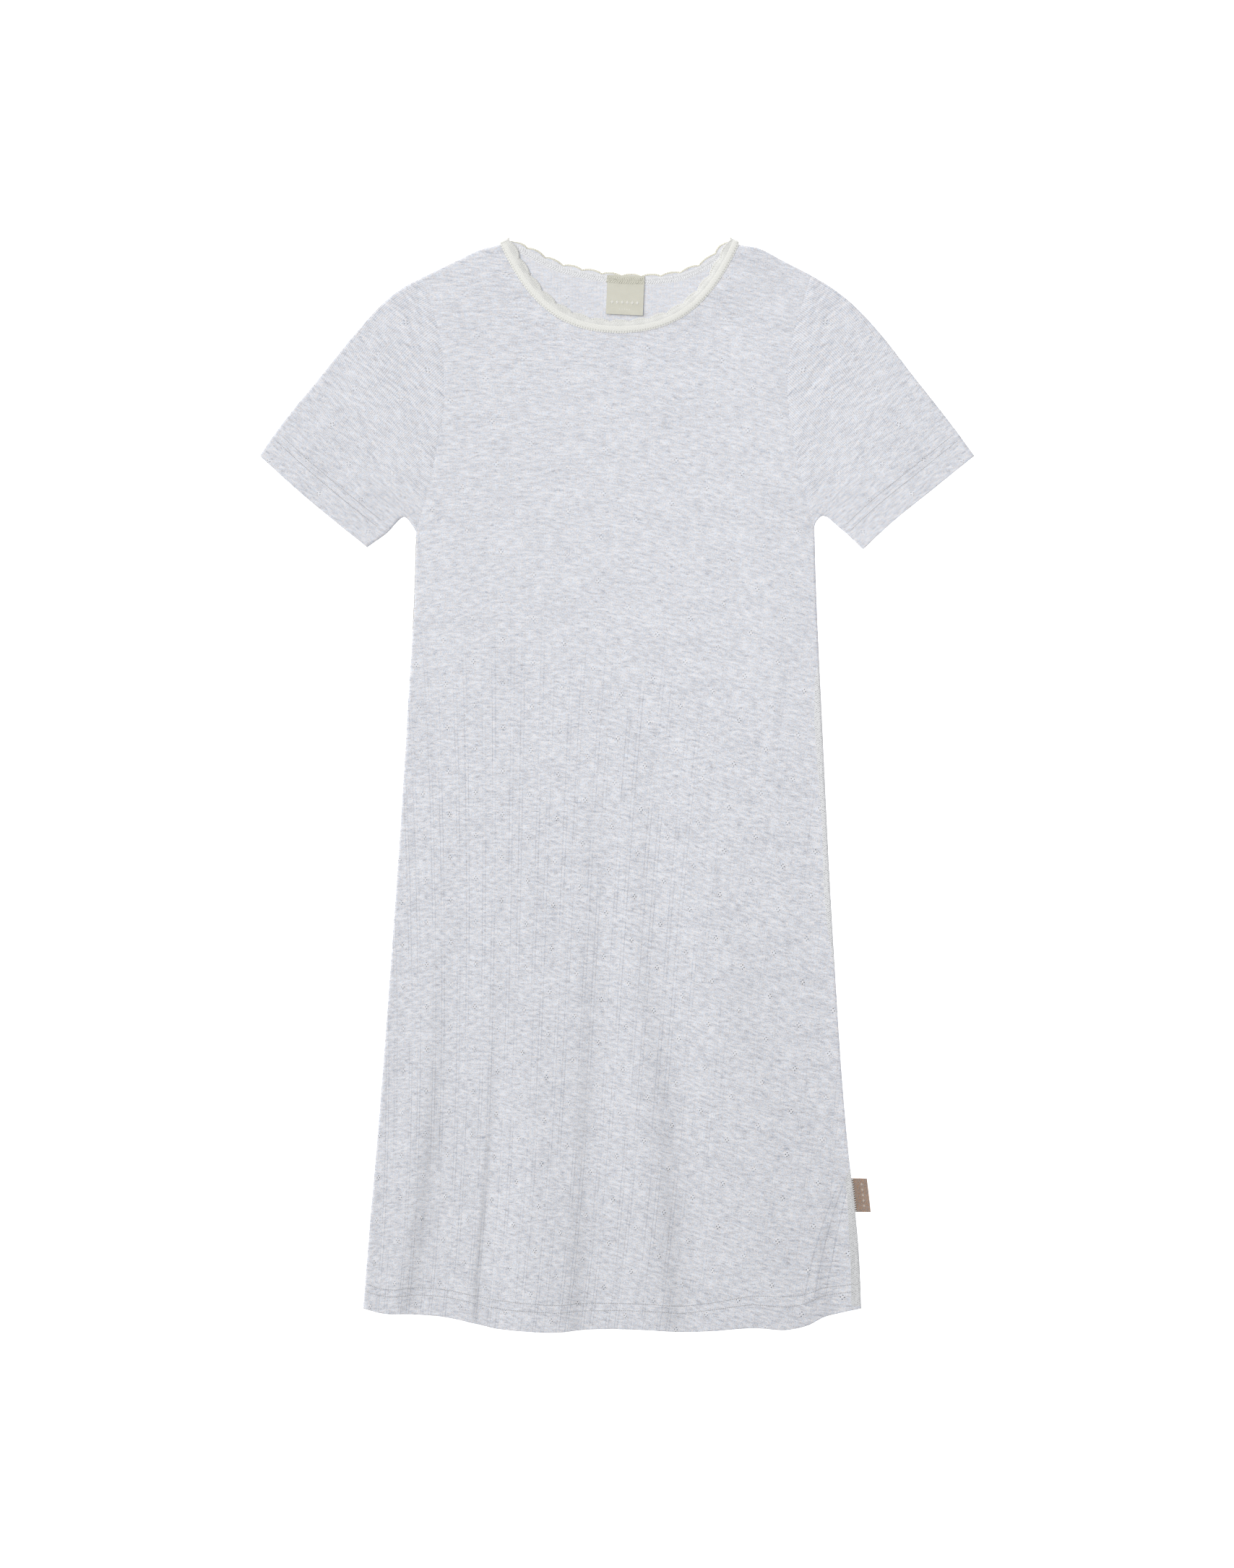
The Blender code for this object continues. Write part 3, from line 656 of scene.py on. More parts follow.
@dataclass(frozen=True)
class BodyGrain:
    """How the columns and rows of pierced clusters run over the front.

    A cluster stands wherever the column's and the row's number are whole and their sum is even.
    """

    heights: Row = (350, 180, 0, -180, -350)
    places: Row = (-160, -80, 0, 80, 160)
    # one row a height, one column a place across
    column_numbers: tuple[Row, ...] = (
        (-2.59, -0.09, 2.35, 5.19, 8.81),
        (-4.72, -1.06, 2.42, 6.00, 9.86),
        (-5.71, -1.19, 3.08, 7.15, 11.03),
        (-6.08, -1.03, 3.72, 8.04, 11.73),
        (-5.65, -0.37, 4.61, 8.97, 12.33),
    )
    row_numbers: tuple[Row, ...] = (
        (-28.65, -28.61, -28.99, -29.85, -30.97),
        (-16.94, -16.66, -17.06, -18.05, -19.28),
        (-4.68, -4.40, -4.96, -6.14, -7.43),
        (8.00, 8.09, 7.27, 5.93, 4.71),
        (19.99, 19.77, 18.69, 17.28, 16.31),
    )

    def at(self, x: Array, y: Array) -> Array:
        """The column and row numbers at these places, along a new last axis.

        Args:
            x: The places' x, in metres.
            y: The places' y, in metres.

        Returns:
            The numbers.
        """
        down = lagrange(np.array(self.heights) * MM, y)
        across = lagrange(np.array(self.places) * MM, x)
        tables = (self.column_numbers, self.row_numbers)
        numbers = [np.einsum("...h,hp,...p->...", down, np.array(t), across) for t in tables]
        return np.stack(numbers, axis=-1)


@dataclass(frozen=True)
class SleeveGrain:
    """The columns run along the sleeve, and bend and spread towards the armhole."""

    side: Side
    lean: float = math.radians(51.7)
    cuff_middle: tuple[float, float] = (-203.7 * MM, 189.6 * MM)
    unit: float = 50.0 * MM
    # power of the place along, power of the place across, share
    columns: tuple[Row, ...] = (
        (0, 0, -0.060), (0, 1, 2.496), (0, 2, 0.051), (0, 3, 0.055), (1, 0, 0.481),
        (1, 1, -0.693), (1, 2, -0.013), (2, 0, -0.355), (2, 1, 0.111), (3, 0, 0.082),
    )
    rows: tuple[Row, ...] = (
        (0, 0, -0.437), (0, 1, 0.196), (0, 2, 0.144), (1, 0, 3.494), (1, 1, -0.216), (2, 0, 0.045),
    )

    def at(self, x: Array, y: Array) -> Array:
        """The column and row numbers at these places, along a new last axis.

        Args:
            x: The places' x, in metres.
            y: The places' y, in metres.

        Returns:
            The numbers.
        """
        mirrored = x if self.side is Side.LEFT else -1.8 * MM - x
        away_x = mirrored - self.cuff_middle[0]
        away_y = y - self.cuff_middle[1]
        along = (away_x * math.cos(self.lean) + away_y * math.sin(self.lean)) / self.unit
        across = (away_y * math.cos(self.lean) - away_x * math.sin(self.lean)) / self.unit
        numbers = [
            sum(share * along**i * across**j for i, j, share in table)
            for table in (self.columns, self.rows)
        ]
        return np.stack(numbers, axis=-1)


@dataclass(frozen=True)
class StraightGrain:
    """Columns and rows that run straight, for the back panel."""

    column: float = 24.0 * MM
    row: float = 14.4 * MM

    def at(self, x: Array, y: Array) -> Array:
        """The column and row numbers at these places, along a new last axis."""
        return np.stack([x / self.column + 0.4, y / self.row + 0.3], axis=-1)


# ---- finishes


Socket = bpy.types.NodeSocket
Source = Socket | float
Colour = tuple[float, float, float]


class Sketch:
    """One material's node tree."""

    def __init__(self, name: str, roughness: float, sheen: float) -> None:
        """Start a material with one shader.

        Args:
            name: The finish's name.
            roughness: The shader's roughness.
            sheen: The shader's sheen weight.
        """
        self.material = bpy.data.materials.new(name)
        self.material.use_nodes = True
        self.tree = self.material.node_tree
        self.shader = self.tree.nodes["Principled BSDF"]
        self.shader.inputs["Roughness"].default_value = roughness
        self.shader.inputs["Sheen Weight"].default_value = sheen
        self.shader.inputs["Sheen Roughness"].default_value = 0.5
        self.shader.inputs["Specular IOR Level"].default_value = 0.25

    def add(self, kind: str, **settings: object) -> bpy.types.Node:
        """Add a node with these settings.

        Args:
            kind: The node's type.
            settings: Its settings, by name.

        Returns:
            The node.
        """
        node = self.tree.nodes.new(kind)
        for name, value in settings.items():
            setattr(node, name, value)
        return node

    def feed(self, socket: Socket, source: Source | Colour) -> None:
        """Link a socket to a source, or set its value.

        Args:
            socket: The socket to feed.
            source: What feeds it.
        """
        if isinstance(source, Socket):
            self.tree.links.new(source, socket)
        elif isinstance(source, tuple):
            socket.default_value = (*source, 1.0)
        else:
            socket.default_value = source

    def calc(self, operation: str, *values: Source) -> Socket:
        """The result of a sum on these values.

        Args:
            operation: The sum's name.
            values: What it works on.

        Returns:
            The result.
        """
        node = self.add("ShaderNodeMath", operation=operation)
        for socket, value in zip(node.inputs, values):
            self.feed(socket, value)
        return node.outputs[0]

    def times(self, *values: Source) -> Socket:
        """The product of two values."""
        return self.calc("MULTIPLY", *values)

    def plus(self, *values: Source) -> Socket:
        """The sum of two values."""
        return self.calc("ADD", *values)

    def minus(self, *values: Source) -> Socket:
        """The first value less the second."""
        return self.calc("SUBTRACT", *values)

    def wave(self, source: Source, pitch: float) -> Socket:
        """A wave between -1 and 1 whose crests are one pitch apart."""
        return self.calc("SINE", self.times(source, 2.0 * math.pi / pitch))

    def object_mm(self) -> tuple[Socket, Socket]:
        """The x and the y of the object's own coordinates, in millimetres.

        Returns:
            The x and the y.
        """
        parts = self.add("ShaderNodeSeparateXYZ")
        self.feed(parts.inputs[0], self.add("ShaderNodeTexCoord").outputs["Object"])
        x, y = (self.times(parts.outputs[at], 1000.0) for at in (0, 1))
        return x, y

    def span(
        self, source: Source, low: float, high: float, start: float = 0.0, end: float = 1.0
    ) -> Socket:
        """Carry a source smoothly from one span of values to another.

        Args:
            source: The value to carry.
            low: Where the first span starts.
            high: Where it ends.
            start: The value that low becomes.
            end: The value that high becomes.

        Returns:
            The carried value.
        """
        node = self.add("ShaderNodeMapRange", interpolation_type="SMOOTHSTEP")
        for socket, value in zip(node.inputs, (source, low, high, start, end)):
            self.feed(socket, value)
        return node.outputs[0]

    def noise(
        self, x: Source, y: Source, run_x: float, run_y: float, detail: float = 2.0
    ) -> Socket:
        """Make soft noise about zero.

        Args:
            x: The first coordinate.
            y: The second coordinate.
            run_x: The patches' length along the first.
            run_y: Their length along the second.
            detail: How many finer layers the noise has.

        Returns:
            The noise.
        """
        place = self.add("ShaderNodeCombineXYZ")
        self.feed(place.inputs[0], self.times(x, 1.0 / run_x))
        self.feed(place.inputs[1], self.times(y, 1.0 / run_y))
        node = self.add("ShaderNodeTexNoise", noise_dimensions="2D")
        self.feed(node.inputs["Vector"], place.outputs[0])
        node.inputs["Scale"].default_value = 1.0
        node.inputs["Detail"].default_value = detail
        return self.minus(node.outputs[0], 0.5)

    def surface(self, uv_map: str) -> tuple[Socket, Socket]:
        """The two coordinates of a UV map.

        Args:
            uv_map: The map's name.

        Returns:
            The two coordinates.
        """
        node = self.add("ShaderNodeUVMap", uv_map=uv_map)
        parts = self.add("ShaderNodeSeparateXYZ")
        self.feed(parts.inputs[0], node.outputs[0])
        return parts.outputs[0], parts.outputs[1]

    def blend(self, share: Source, first: Source | Colour, second: Source | Colour) -> Socket:
        """The mix of two colours.

        Args:
            share: How much of the second.
            first: The first colour.
            second: The second colour.

        Returns:
            The mixed colour.
        """
        node = self.add("ShaderNodeMix", data_type="RGBA", clamp_factor=True)
        for at, value in ((0, share), (6, first), (7, second)):
            self.feed(node.inputs[at], value)
        return node.outputs[2]

    def tint(self, share: Source, colour: Source, first: Colour, second: Colour) -> Socket:
        """The colour times a mix of two others.

        Args:
            share: How much of the second.
            colour: The colour to tint.
            first: The first tint.
            second: The second tint.

        Returns:
            The tinted colour.
        """
        node = self.add("ShaderNodeMix", data_type="RGBA", blend_type="MULTIPLY")
        for at, value in ((0, 1.0), (6, colour), (7, self.blend(share, first, second))):
            self.feed(node.inputs[at], value)
        return node.outputs[2]

    def number(self, attribute: str) -> Socket:
        """A number that the mesh gives to each of its points."""
        return self.add("ShaderNodeAttribute", attribute_name=attribute).outputs["Fac"]

    def lattice(self, u: Source, v: Source) -> tuple[Source, Source, Source]:
        """Find the nearest place where both coordinates are whole and their sum is even.

        Args:
            u: The first coordinate.
            v: The second coordinate.

        Returns:
            How far u and v are past that place, and the place's own random number from 0 to 1.
        """
        place = self.add("ShaderNodeCombineXYZ")
        halves = []
        for at, operation in enumerate(("ADD", "SUBTRACT")):
            number = self.times(self.calc(operation, u, v), 0.5)
            whole = self.calc("ROUND", number)
            self.feed(place.inputs[at], whole)
            halves.append(self.minus(number, whole))
        chance = self.add("ShaderNodeTexWhiteNoise", noise_dimensions="2D")
        self.feed(chance.inputs["Vector"], place.outputs[0])
        return self.plus(*halves), self.minus(*halves), chance.outputs["Value"]

    def away(self, u: Source, v: Source, at_u: float = 0.0, at_v: float = 0.0) -> Source:
        """The distance of a place from another.

        Args:
            u: The place's first coordinate.
            v: Its second coordinate.
            at_u: The other place's first coordinate.
            at_v: Its second coordinate.

        Returns:
            The distance.
        """
        squares = [
            self.calc("POWER", self.minus(value, at), 2.0)
            for value, at in ((u, at_u), (v, at_v))
        ]
        return self.calc("SQRT", self.plus(*squares))

    def line(self, value: Source, at: float, core: float, edge: float) -> Source:
        """1 where the value is within core of a number, and 0 beyond edge."""
        return self.span(self.calc("ABSOLUTE", self.minus(value, at)), core, edge, 1.0, 0.0)

    def total(self, *terms: tuple[float, Source]) -> Socket:
        """The sum of sources, each times its own weight.

        Args:
            terms: The pairs of a weight and a source.

        Returns:
            The sum.
        """
        result = self.times(terms[0][1], terms[0][0])
        for weight, source in terms[1:]:
            node = self.add("ShaderNodeMath", operation="MULTIPLY_ADD")
            for socket, value in zip(node.inputs, (source, weight, result)):
                self.feed(socket, value)
            result = node.outputs[0]
        return result

    def close(self, colour: Source | Colour, height_mm: Source) -> Material:
        """Give the shader its colour and its relief.

        Args:
            colour: The surface's colour.
            height_mm: Its relief, in millimetres.

        Returns:
            The finished material.
        """
        self.feed(self.shader.inputs["Base Color"], colour)
        bump = self.add("ShaderNodeBump")
        bump.inputs["Strength"].default_value = 1.0
        bump.inputs["Distance"].default_value = MM
        self.feed(bump.inputs["Height"], height_mm)
        self.feed(self.shader.inputs["Normal"], bump.outputs[0])
        return self.material


@dataclass(frozen=True)
class PiercedRib:
    """Heather rib jersey with diamonds of pierced holes and lines of dropped needles.

    Three numbers of the mesh say what shows where: "open" how clear the holes and the heather
    are, "needle" how clear the dropped needles are, and "sewn" the place across a hem, whose two
    rows of sewing lie at 12 and 17. Sizes are in millimetres, and the furrows' in columns.
    """

    name: str
    dark: Colour = (0.445, 0.457, 0.505)
    light: Colour = (0.815, 0.822, 0.860)
    shadow: Colour = (0.13, 0.13, 0.15)
    cold: Colour = (0.965, 1.0, 1.035)
    warm: Colour = (1.035, 1.0, 0.965)
    middle: float = 0.65
    heather: float = 0.8
    ribs: float = 24.0
    rib_depth: float = 0.006
    # the ribs' lighter and darker lines in the colour: painted light and shade of their shallow
    # relief
    rib_shade: float = 0.02
    column: float = 19.3
    row: float = 14.4
    hole_across: float = 1.0
    hole_up: float = 1.35
    furrow_place: float = 0.32
    furrow_half_gap: float = 0.057
    sewn_rows: Row = (12.0, 17.0)
    pleat_crease_top: float = -262.0
    # x at the top, slope and bend of each fine crease line of the pleat under the side label,
    # darkened as painted shade
    pleat_crease_lines: tuple[Row, ...] = ()

    def material(self) -> Material:
        """Build the finish on the UV map of column and row numbers.

        Returns:
            The finished material.
        """
        sketch = Sketch(self.name, roughness=0.9, sheen=0.15)
        column, row = sketch.surface("grain")
        clear = sketch.number("open")
        x = sketch.times(column, self.column)
        sway = sketch.noise(sketch.times(row, self.row), x, 6.0, 15.0, 1.0)
        y = sketch.total((self.row, row), (3.0, sway))
        streaks = sketch.noise(x, y, 5.6, 1.75, 1.0)
        fibres = sketch.noise(x, y, 0.7, 0.62, 1.0)
        clouds = sketch.noise(x, y, 30.0, 11.0, 1.0)
        dashes = sketch.span(sketch.noise(y, x, 1.1, 4.4, 1.0), -0.32, -0.1, 1.0, 0.0)
        heather = sketch.total((0.9, streaks), (1.1, fibres), (0.26, clouds), (-0.42, dashes))
        amount = sketch.total((self.heather, 1.0), (self.heather * 0.35, clear))
        heather = sketch.times(heather, amount)
        # the rib wave sinks the relief a little and also lightens and darkens the colour as painted
        # light and shade
        wave = sketch.wave(column, 1.0 / self.ribs)
        holes, loops = self.clusters(sketch, column, row, clear)
        # the furrows sink the relief and also darken the colour: painted shade in their grooves
        furrows = self.dropped_needles(sketch, column, row, x, y)
        if self.pleat_crease_lines:
            furrows = sketch.plus(furrows, self.pleat_creases_and_shade(sketch))
        # the hem's two rows of sewing darken the colour in thin lines: painted shade of their
        # furrows
        rows = (sketch.line(sketch.number("sewn"), at, 0.12, 0.42) for at in self.sewn_rows)
        sewn = sketch.plus(*rows)
        share = sketch.total(
            (1.0, heather), (self.rib_shade, wave), (0.35, loops), (-0.35, furrows), (-0.08, sewn)
        )
        relief = sketch.total(
            (self.rib_depth, wave), (0.06, fibres), (0.03, streaks), (-0.2, holes), (0.12, loops),
            (-0.06, furrows), (-0.04, sewn),
        )
        colour = sketch.blend(sketch.plus(share, self.middle), self.dark, self.light)
        hue = sketch.plus(sketch.times(sketch.noise(y, x, 1.2, 1.6, 1.0), 3.0), 0.5)
        colour = sketch.tint(hue, colour, self.cold, self.warm)
        return sketch.close(sketch.blend(holes, colour, self.shadow), relief)

    def clusters(
        self, sketch: Sketch, column: Source, row: Source, clear: Source
    ) -> tuple[Source, Source]:
        """Four pierced holes round a drawn-up loop, some clearer than others.

        Args:
            sketch: The material to add to.
            column: The column's number.
            row: The row's number.
            clear: How clear the holes are here.

        Returns:
            The holes' share and the loops' share.
        """
        past_column, past_row, chance = sketch.lattice(column, row)
        x = sketch.calc("ABSOLUTE", sketch.times(past_column, self.column))
        y = sketch.calc("ABSOLUTE", sketch.times(past_row, self.row))
        strength = sketch.total((0.55, clear), (0.4, chance))
        beside = sketch.away(x, y, self.hole_across, 0.0)
        near = sketch.calc("MINIMUM", beside, sketch.away(x, y, 0.0, self.hole_up))
        holes = sketch.span(near, 0.12, 0.46, 1.0, 0.0)
        middle = sketch.span(sketch.away(x, y), 0.35, 0.85, 1.0, 0.0)
        loops = sketch.plus(middle, sketch.line(near, 0.75, 0.0, 0.3))
        return sketch.times(holes, strength), sketch.times(loops, strength)

    def pleat_creases_and_shade(self, sketch: Sketch) -> Source:
        """The fine crease lines of the pleat under the side label, as painted shade, each a curve
        x(y) in millimetres.

        Args:
            sketch: The material to add to.

        Returns:
            The lines' share.
        """
        x, y = sketch.object_mm()
        down = sketch.minus(self.pleat_crease_top, y)
        ends = sketch.times(sketch.span(down, 0.0, 14.0), sketch.span(down, 78.0, 90.0, 1.0, 0.0))
        squared = sketch.calc("POWER", sketch.calc("MAXIMUM", down, 0.0), 2.0)
        lines = []
        for start, slope, bend in self.pleat_crease_lines:
            off = sketch.minus(x, sketch.total((slope, down), (bend, squared)))
            lines.append(sketch.line(off, start, 0.15, 0.75))
        strongest = sketch.calc("MAXIMUM", sketch.calc("MAXIMUM", lines[0], lines[1]), lines[2])
        return sketch.times(strongest, sketch.times(ends, 0.7))

    def dropped_needles(
        self, sketch: Sketch, column: Source, row: Source, x: Source, y: Source
    ) -> Source:
        """The pairs of fine furrows on both sides of each column of holes, which the colour darkens
        as painted shade.

        Args:
            sketch: The material to add to.
            column: The column's number.
            row: The row's number.
            x: The column's number in millimetres.
            y: The row's number in millimetres.

        Returns:
            The furrows' share.
        """
        off = sketch.calc("ABSOLUTE", sketch.minus(column, sketch.calc("ROUND", column)))
        off = sketch.calc("ABSOLUTE", sketch.minus(off, self.furrow_place))
        furrow = sketch.line(off, self.furrow_half_gap, 0.002, 0.022)
        patches = sketch.span(sketch.noise(x, y, 7.0, 60.0, 1.0), -0.2, 0.15, 0.2, 1.0)
        return sketch.times(furrow, sketch.times(sketch.number("needle"), patches))


@dataclass(frozen=True)
class Elastic:
    """Cream knitted elastic, ribbed across its length, with a furrow beside its picots."""

    name: str = "cream_elastic_knit"
    dark: Colour = (0.66, 0.66, 0.62)
    light: Colour = (0.88, 0.88, 0.845)
    rib: float = 1.15
    course: float = 1.3
    furrow: float = 0.9

    def material(self) -> Material:
        """Build the finish on a UV map of millimetres, with painted shade in the furrow between the
        edge's picots.

        Returns:
            The finished material.
        """
        sketch = Sketch(self.name, roughness=0.75, sheen=0.2)
        along, across = sketch.surface("strip")
        rib = sketch.wave(along, self.rib)
        courses = sketch.wave(across, self.course)
        loops = sketch.times(rib, courses)
        fuzz = sketch.noise(along, across, 0.7, 0.5, 2.0)
        between = sketch.minus(1.0, sketch.number("picot"))
        # the furrow beside the picots sinks the relief and darkens the colour as painted shade
        groove_and_shade = sketch.times(sketch.line(across, self.furrow, 0.1, 0.65), between)
        share = sketch.total((0.3, loops), (1.3, fuzz), (-1.0, groove_and_shade))
        relief = sketch.total((0.06, loops), (0.07, fuzz), (-0.06, groove_and_shade))
        return sketch.close(sketch.blend(sketch.plus(share, 0.74), self.dark, self.light), relief)


@dataclass(frozen=True)
class Lace:
    """Close lace whose scallops are filled with fine slanting bars."""

    name: str = "cream_lace"
    dark: Colour = (0.56, 0.565, 0.545)
    light: Colour = (0.815, 0.815, 0.79)
    bar: float = 1.1
    mesh_row: float = 1.05

    def material(self) -> Material:
        """Build the finish on millimetres along and across, and on the place in the scallop.

        Returns:
            The finished material.
        """
        sketch = Sketch(self.name, roughness=0.75, sheen=0.15)
        along, across = sketch.surface("strip")
        phase, depth = sketch.surface("scallop")
        past = sketch.minus(phase, sketch.plus(sketch.calc("FLOOR", phase), 0.5))
        from_middle = sketch.away(sketch.times(past, 2.6), depth, 0.0, 0.5)
        lens = sketch.span(from_middle, 0.45, 1.0, 1.0, 0.45)
        slant = sketch.plus(along, sketch.times(across, 0.55))
        bars = sketch.wave(slant, self.bar)
        bars = sketch.times(sketch.span(bars, 0.1, 1.0), lens)
        fuzz = sketch.noise(along, across, 0.6, 0.45, 2.0)
        rows = sketch.wave(across, self.mesh_row)
        share = sketch.plus(sketch.total((-0.65, bars), (1.2, fuzz), (0.06, rows)), 0.86)
        relief = sketch.total((-0.09, bars), (0.06, fuzz), (0.02, rows))
        return sketch.close(sketch.blend(share, self.dark, self.light), relief)


@dataclass(frozen=True)
class CoverStitch:
    """The close threads of a covering stitch, with a small dark chevron at each of their turns."""

    name: str = "covering_stitch"
    dark: Colour = (0.58, 0.59, 0.61)
    light: Colour = (0.86, 0.865, 0.875)
    shadow: Colour = (0.26, 0.26, 0.27)
    along: float = 0.6
    across: float = 1.07
    behind: Colour = (1.0, 1.0, 1.0)

    def material(self) -> Material:
        """Build the finish on a UV map of millimetres, and tint it where "behind" is 1.

        Returns:
            The finished material.
        """
        sketch = Sketch(self.name, roughness=0.7, sheen=0.15)
        along, across = sketch.surface("strip")
        u = sketch.times(along, 1.0 / self.along)
        v = sketch.times(across, 1.0 / self.across)
        past_u, past_v, chance = sketch.lattice(u, v)
        past_u = sketch.times(past_u, self.along)
        past_v = sketch.times(past_v, self.across)
        clear = sketch.span(chance, 0.1, 0.9, 0.25, 0.9)
        turn = sketch.total((1.0, past_u), (-0.5, sketch.calc("ABSOLUTE", past_v)))
        chevron = sketch.away(turn, sketch.times(past_v, 0.5))
        holes = sketch.times(sketch.span(chevron, 0.1, 0.36, 1.0, 0.0), clear)
        fuzz = sketch.noise(along, across, 0.6, 0.6, 2.0)
        share = sketch.plus(sketch.times(fuzz, 1.3), 0.68)
        colour = sketch.blend(holes, sketch.blend(share, self.dark, self.light), self.shadow)
        colour = sketch.tint(sketch.number("behind"), colour, (1.0, 1.0, 1.0), self.behind)
        return sketch.close(colour, sketch.total((-0.08, holes), (0.05, fuzz)))


@dataclass(frozen=True)
class Thread:
    """Twisted sewing or lace thread, also used for small dark marks of painted shade."""

    name: str
    dark: Colour
    light: Colour
    twist: float = 0.7

    def material(self) -> Material:
        """Build the finish on object coordinates.

        Returns:
            The finished material.
        """
        sketch = Sketch(self.name, roughness=0.65, sheen=0.15)
        x, y = sketch.object_mm()
        ply = sketch.wave(sketch.plus(x, y), self.twist)
        fuzz = sketch.noise(x, y, 0.6, 0.6, 2.0)
        share = sketch.plus(sketch.total((0.18, ply), (0.7, fuzz)), 0.55)
        return sketch.close(sketch.blend(share, self.dark, self.light), sketch.total((0.03, ply)))


@dataclass(frozen=True)
class WovenLabel:
    """Close woven label cloth with a fine diagonal."""

    name: str
    dark: Colour
    light: Colour
    thread: float = 0.42
    speckle: float = 0.5
    hue: float = 0.01

    def material(self) -> Material:
        """Build the finish on a UV map of millimetres across and up the label.

        Returns:
            The finished material.
        """
        sketch = Sketch(self.name, roughness=0.6, sheen=0.1)
        across, up = sketch.surface("strip")
        warp = sketch.wave(across, self.thread)
        slant = sketch.plus(up, sketch.times(across, 0.5))
        weft = sketch.wave(slant, self.thread)
        weave = sketch.times(warp, weft)
        fuzz = sketch.noise(across, up, 0.6, 0.45, 2.0)
        cloud = sketch.noise(across, up, 6.0, 5.0, 1.0)
        share = sketch.total((0.10, weave), (self.speckle, fuzz), (0.25, cloud))
        share = sketch.plus(share, 0.55)
        relief = sketch.total((0.025, weave), (0.04, fuzz))
        hue = sketch.plus(sketch.times(sketch.noise(up, across, 1.0, 0.9, 2.0), 5.0), 0.5)
        warm, cold = 1.0 + self.hue, 1.0 - self.hue
        colour = sketch.blend(share, self.dark, self.light)
        return sketch.close(sketch.tint(hue, colour, (cold, 1.0, warm), (warm, 1.0, cold)), relief)


def made(finish: object) -> Material:
    """A field that holds this finish's material, built with the other ones."""
    return field(default_factory=finish.material)


@dataclass(frozen=True)
class Finishes:
    """Every finish of the garment, made once."""

    front: Material = made(
        PiercedRib(
            "heather_rib_front",
            pleat_crease_lines=((156.8, -0.24, 0.0004), (154.4, -0.38, 0.0014), (151.8, -0.47, 0.0019)),
        )
    )
    back: Material = made(
        PiercedRib("heather_rib_back", middle=0.71, heather=0.55, rib_shade=0.13, rib_depth=0.01)
    )
    sleeve: Material = made(
        PiercedRib("heather_rib_sleeve", heather=0.82, rib_shade=0.2, rib_depth=0.01)
    )
    elastic: Material = made(Elastic())
    lace: Material = made(Lace())
    cord: Material = made(
        CoverStitch(
            "lace_cord", (0.60, 0.60, 0.57), (0.79, 0.79, 0.765), (0.48, 0.47, 0.43), 0.8, 2.0,
            behind=(0.97, 0.945, 0.85),
        )
    )
    cover: Material = made(CoverStitch())
    # a darker copy of the covering stitch for the band below the side label: painted shade where
    # the cloth slopes down to the seam
    shaded_lower_cover: Material = made(
        CoverStitch("shaded_lower_covering_stitch", (0.52, 0.53, 0.545), (0.78, 0.785, 0.79))
    )
    back_cover: Material = made(
        CoverStitch(
            "back_covering_stitch", (0.70, 0.705, 0.72), (0.85, 0.855, 0.87), (0.52, 0.52, 0.54)
        )
    )
    sage_cover: Material = made(
        CoverStitch(
            "sage_covering_stitch", (0.48, 0.475, 0.40), (0.68, 0.67, 0.58), (0.28, 0.27, 0.22)
        )
    )
    sewing: Material = made(Thread("sewing_thread", (0.60, 0.61, 0.64), (0.84, 0.84, 0.86)))
    # painted shade: dark marks for the needles' holes and for the shadow along the band's outer
    # edge
    shade: Material = made(Thread("painted_shade_marks", (0.34, 0.34, 0.35), (0.52, 0.52, 0.52)))
    seam: Material = made(Thread("seam_thread", (0.54, 0.54, 0.53), (0.80, 0.80, 0.77)))
    back_sewing: Material = made(
        Thread("back_neck_thread", (0.70, 0.705, 0.72), (0.88, 0.885, 0.90))
    )
    sage: Material = made(
        WovenLabel("sage_satin", (0.54, 0.53, 0.45), (0.74, 0.73, 0.64), speckle=0.25)
    )
    sage_sewing: Material = made(Thread("sage_thread", (0.56, 0.55, 0.46), (0.78, 0.77, 0.68)))
    brown: Material = made(
        WovenLabel(
            "brown_tape", (0.20, 0.125, 0.085), (0.50, 0.385, 0.32), speckle=1.6, hue=0.13
        )
    )
    brown_mark: Material = made(
        Thread("brown_mark_thread", (0.42, 0.36, 0.31), (0.62, 0.56, 0.50))
    )
    # painted shade: the near-black gaps between the seam's loops along the side label's held edge
    dark_gap_shade: Material = made(Thread("gap_shade_thread", (0.08, 0.06, 0.05), (0.20, 0.155, 0.13)))
    white: Material = made(Thread("mark_thread", (0.66, 0.65, 0.60), (0.84, 0.83, 0.79)))


# ---- meshes


def finish_piece(piece: Piece, material: Material, slot: Slot) -> Piece:
    """Dress a piece, and let it ride on the garment.

    Args:
        piece: The finished mesh object.
        material: Its finish.
        slot: The record's slot for its finish; not used.

    Returns:
        The piece.
    """
    piece.data.materials.clear()
    piece.data.materials.append(material)
    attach(piece, ROOT)
    LOG.info("%s: %d faces", piece.name, len(piece.data.polygons))
    return piece


def mesh_piece(name: str, points: Array, faces: list, smooth_angle: float = 60.0) -> Piece:
    """A mesh object with its place in its mesh.

    Args:
        name: The piece's name.
        points: The corners, one a row.
        faces: The faces, as lists of corner numbers.
        smooth_angle: Edges sharper than this stay sharp, in degrees.

    Returns:
        The object.
    """
    mesh = bpy.data.meshes.new(name)
    mesh.from_pydata(points.tolist(), [], faces)
    mesh.validate()
    mesh.shade_smooth()
    mesh.set_sharp_from_angle(angle=math.radians(smooth_angle))
    piece = bpy.data.objects.new(name, mesh)
    bpy.context.scene.collection.objects.link(piece)
    return piece


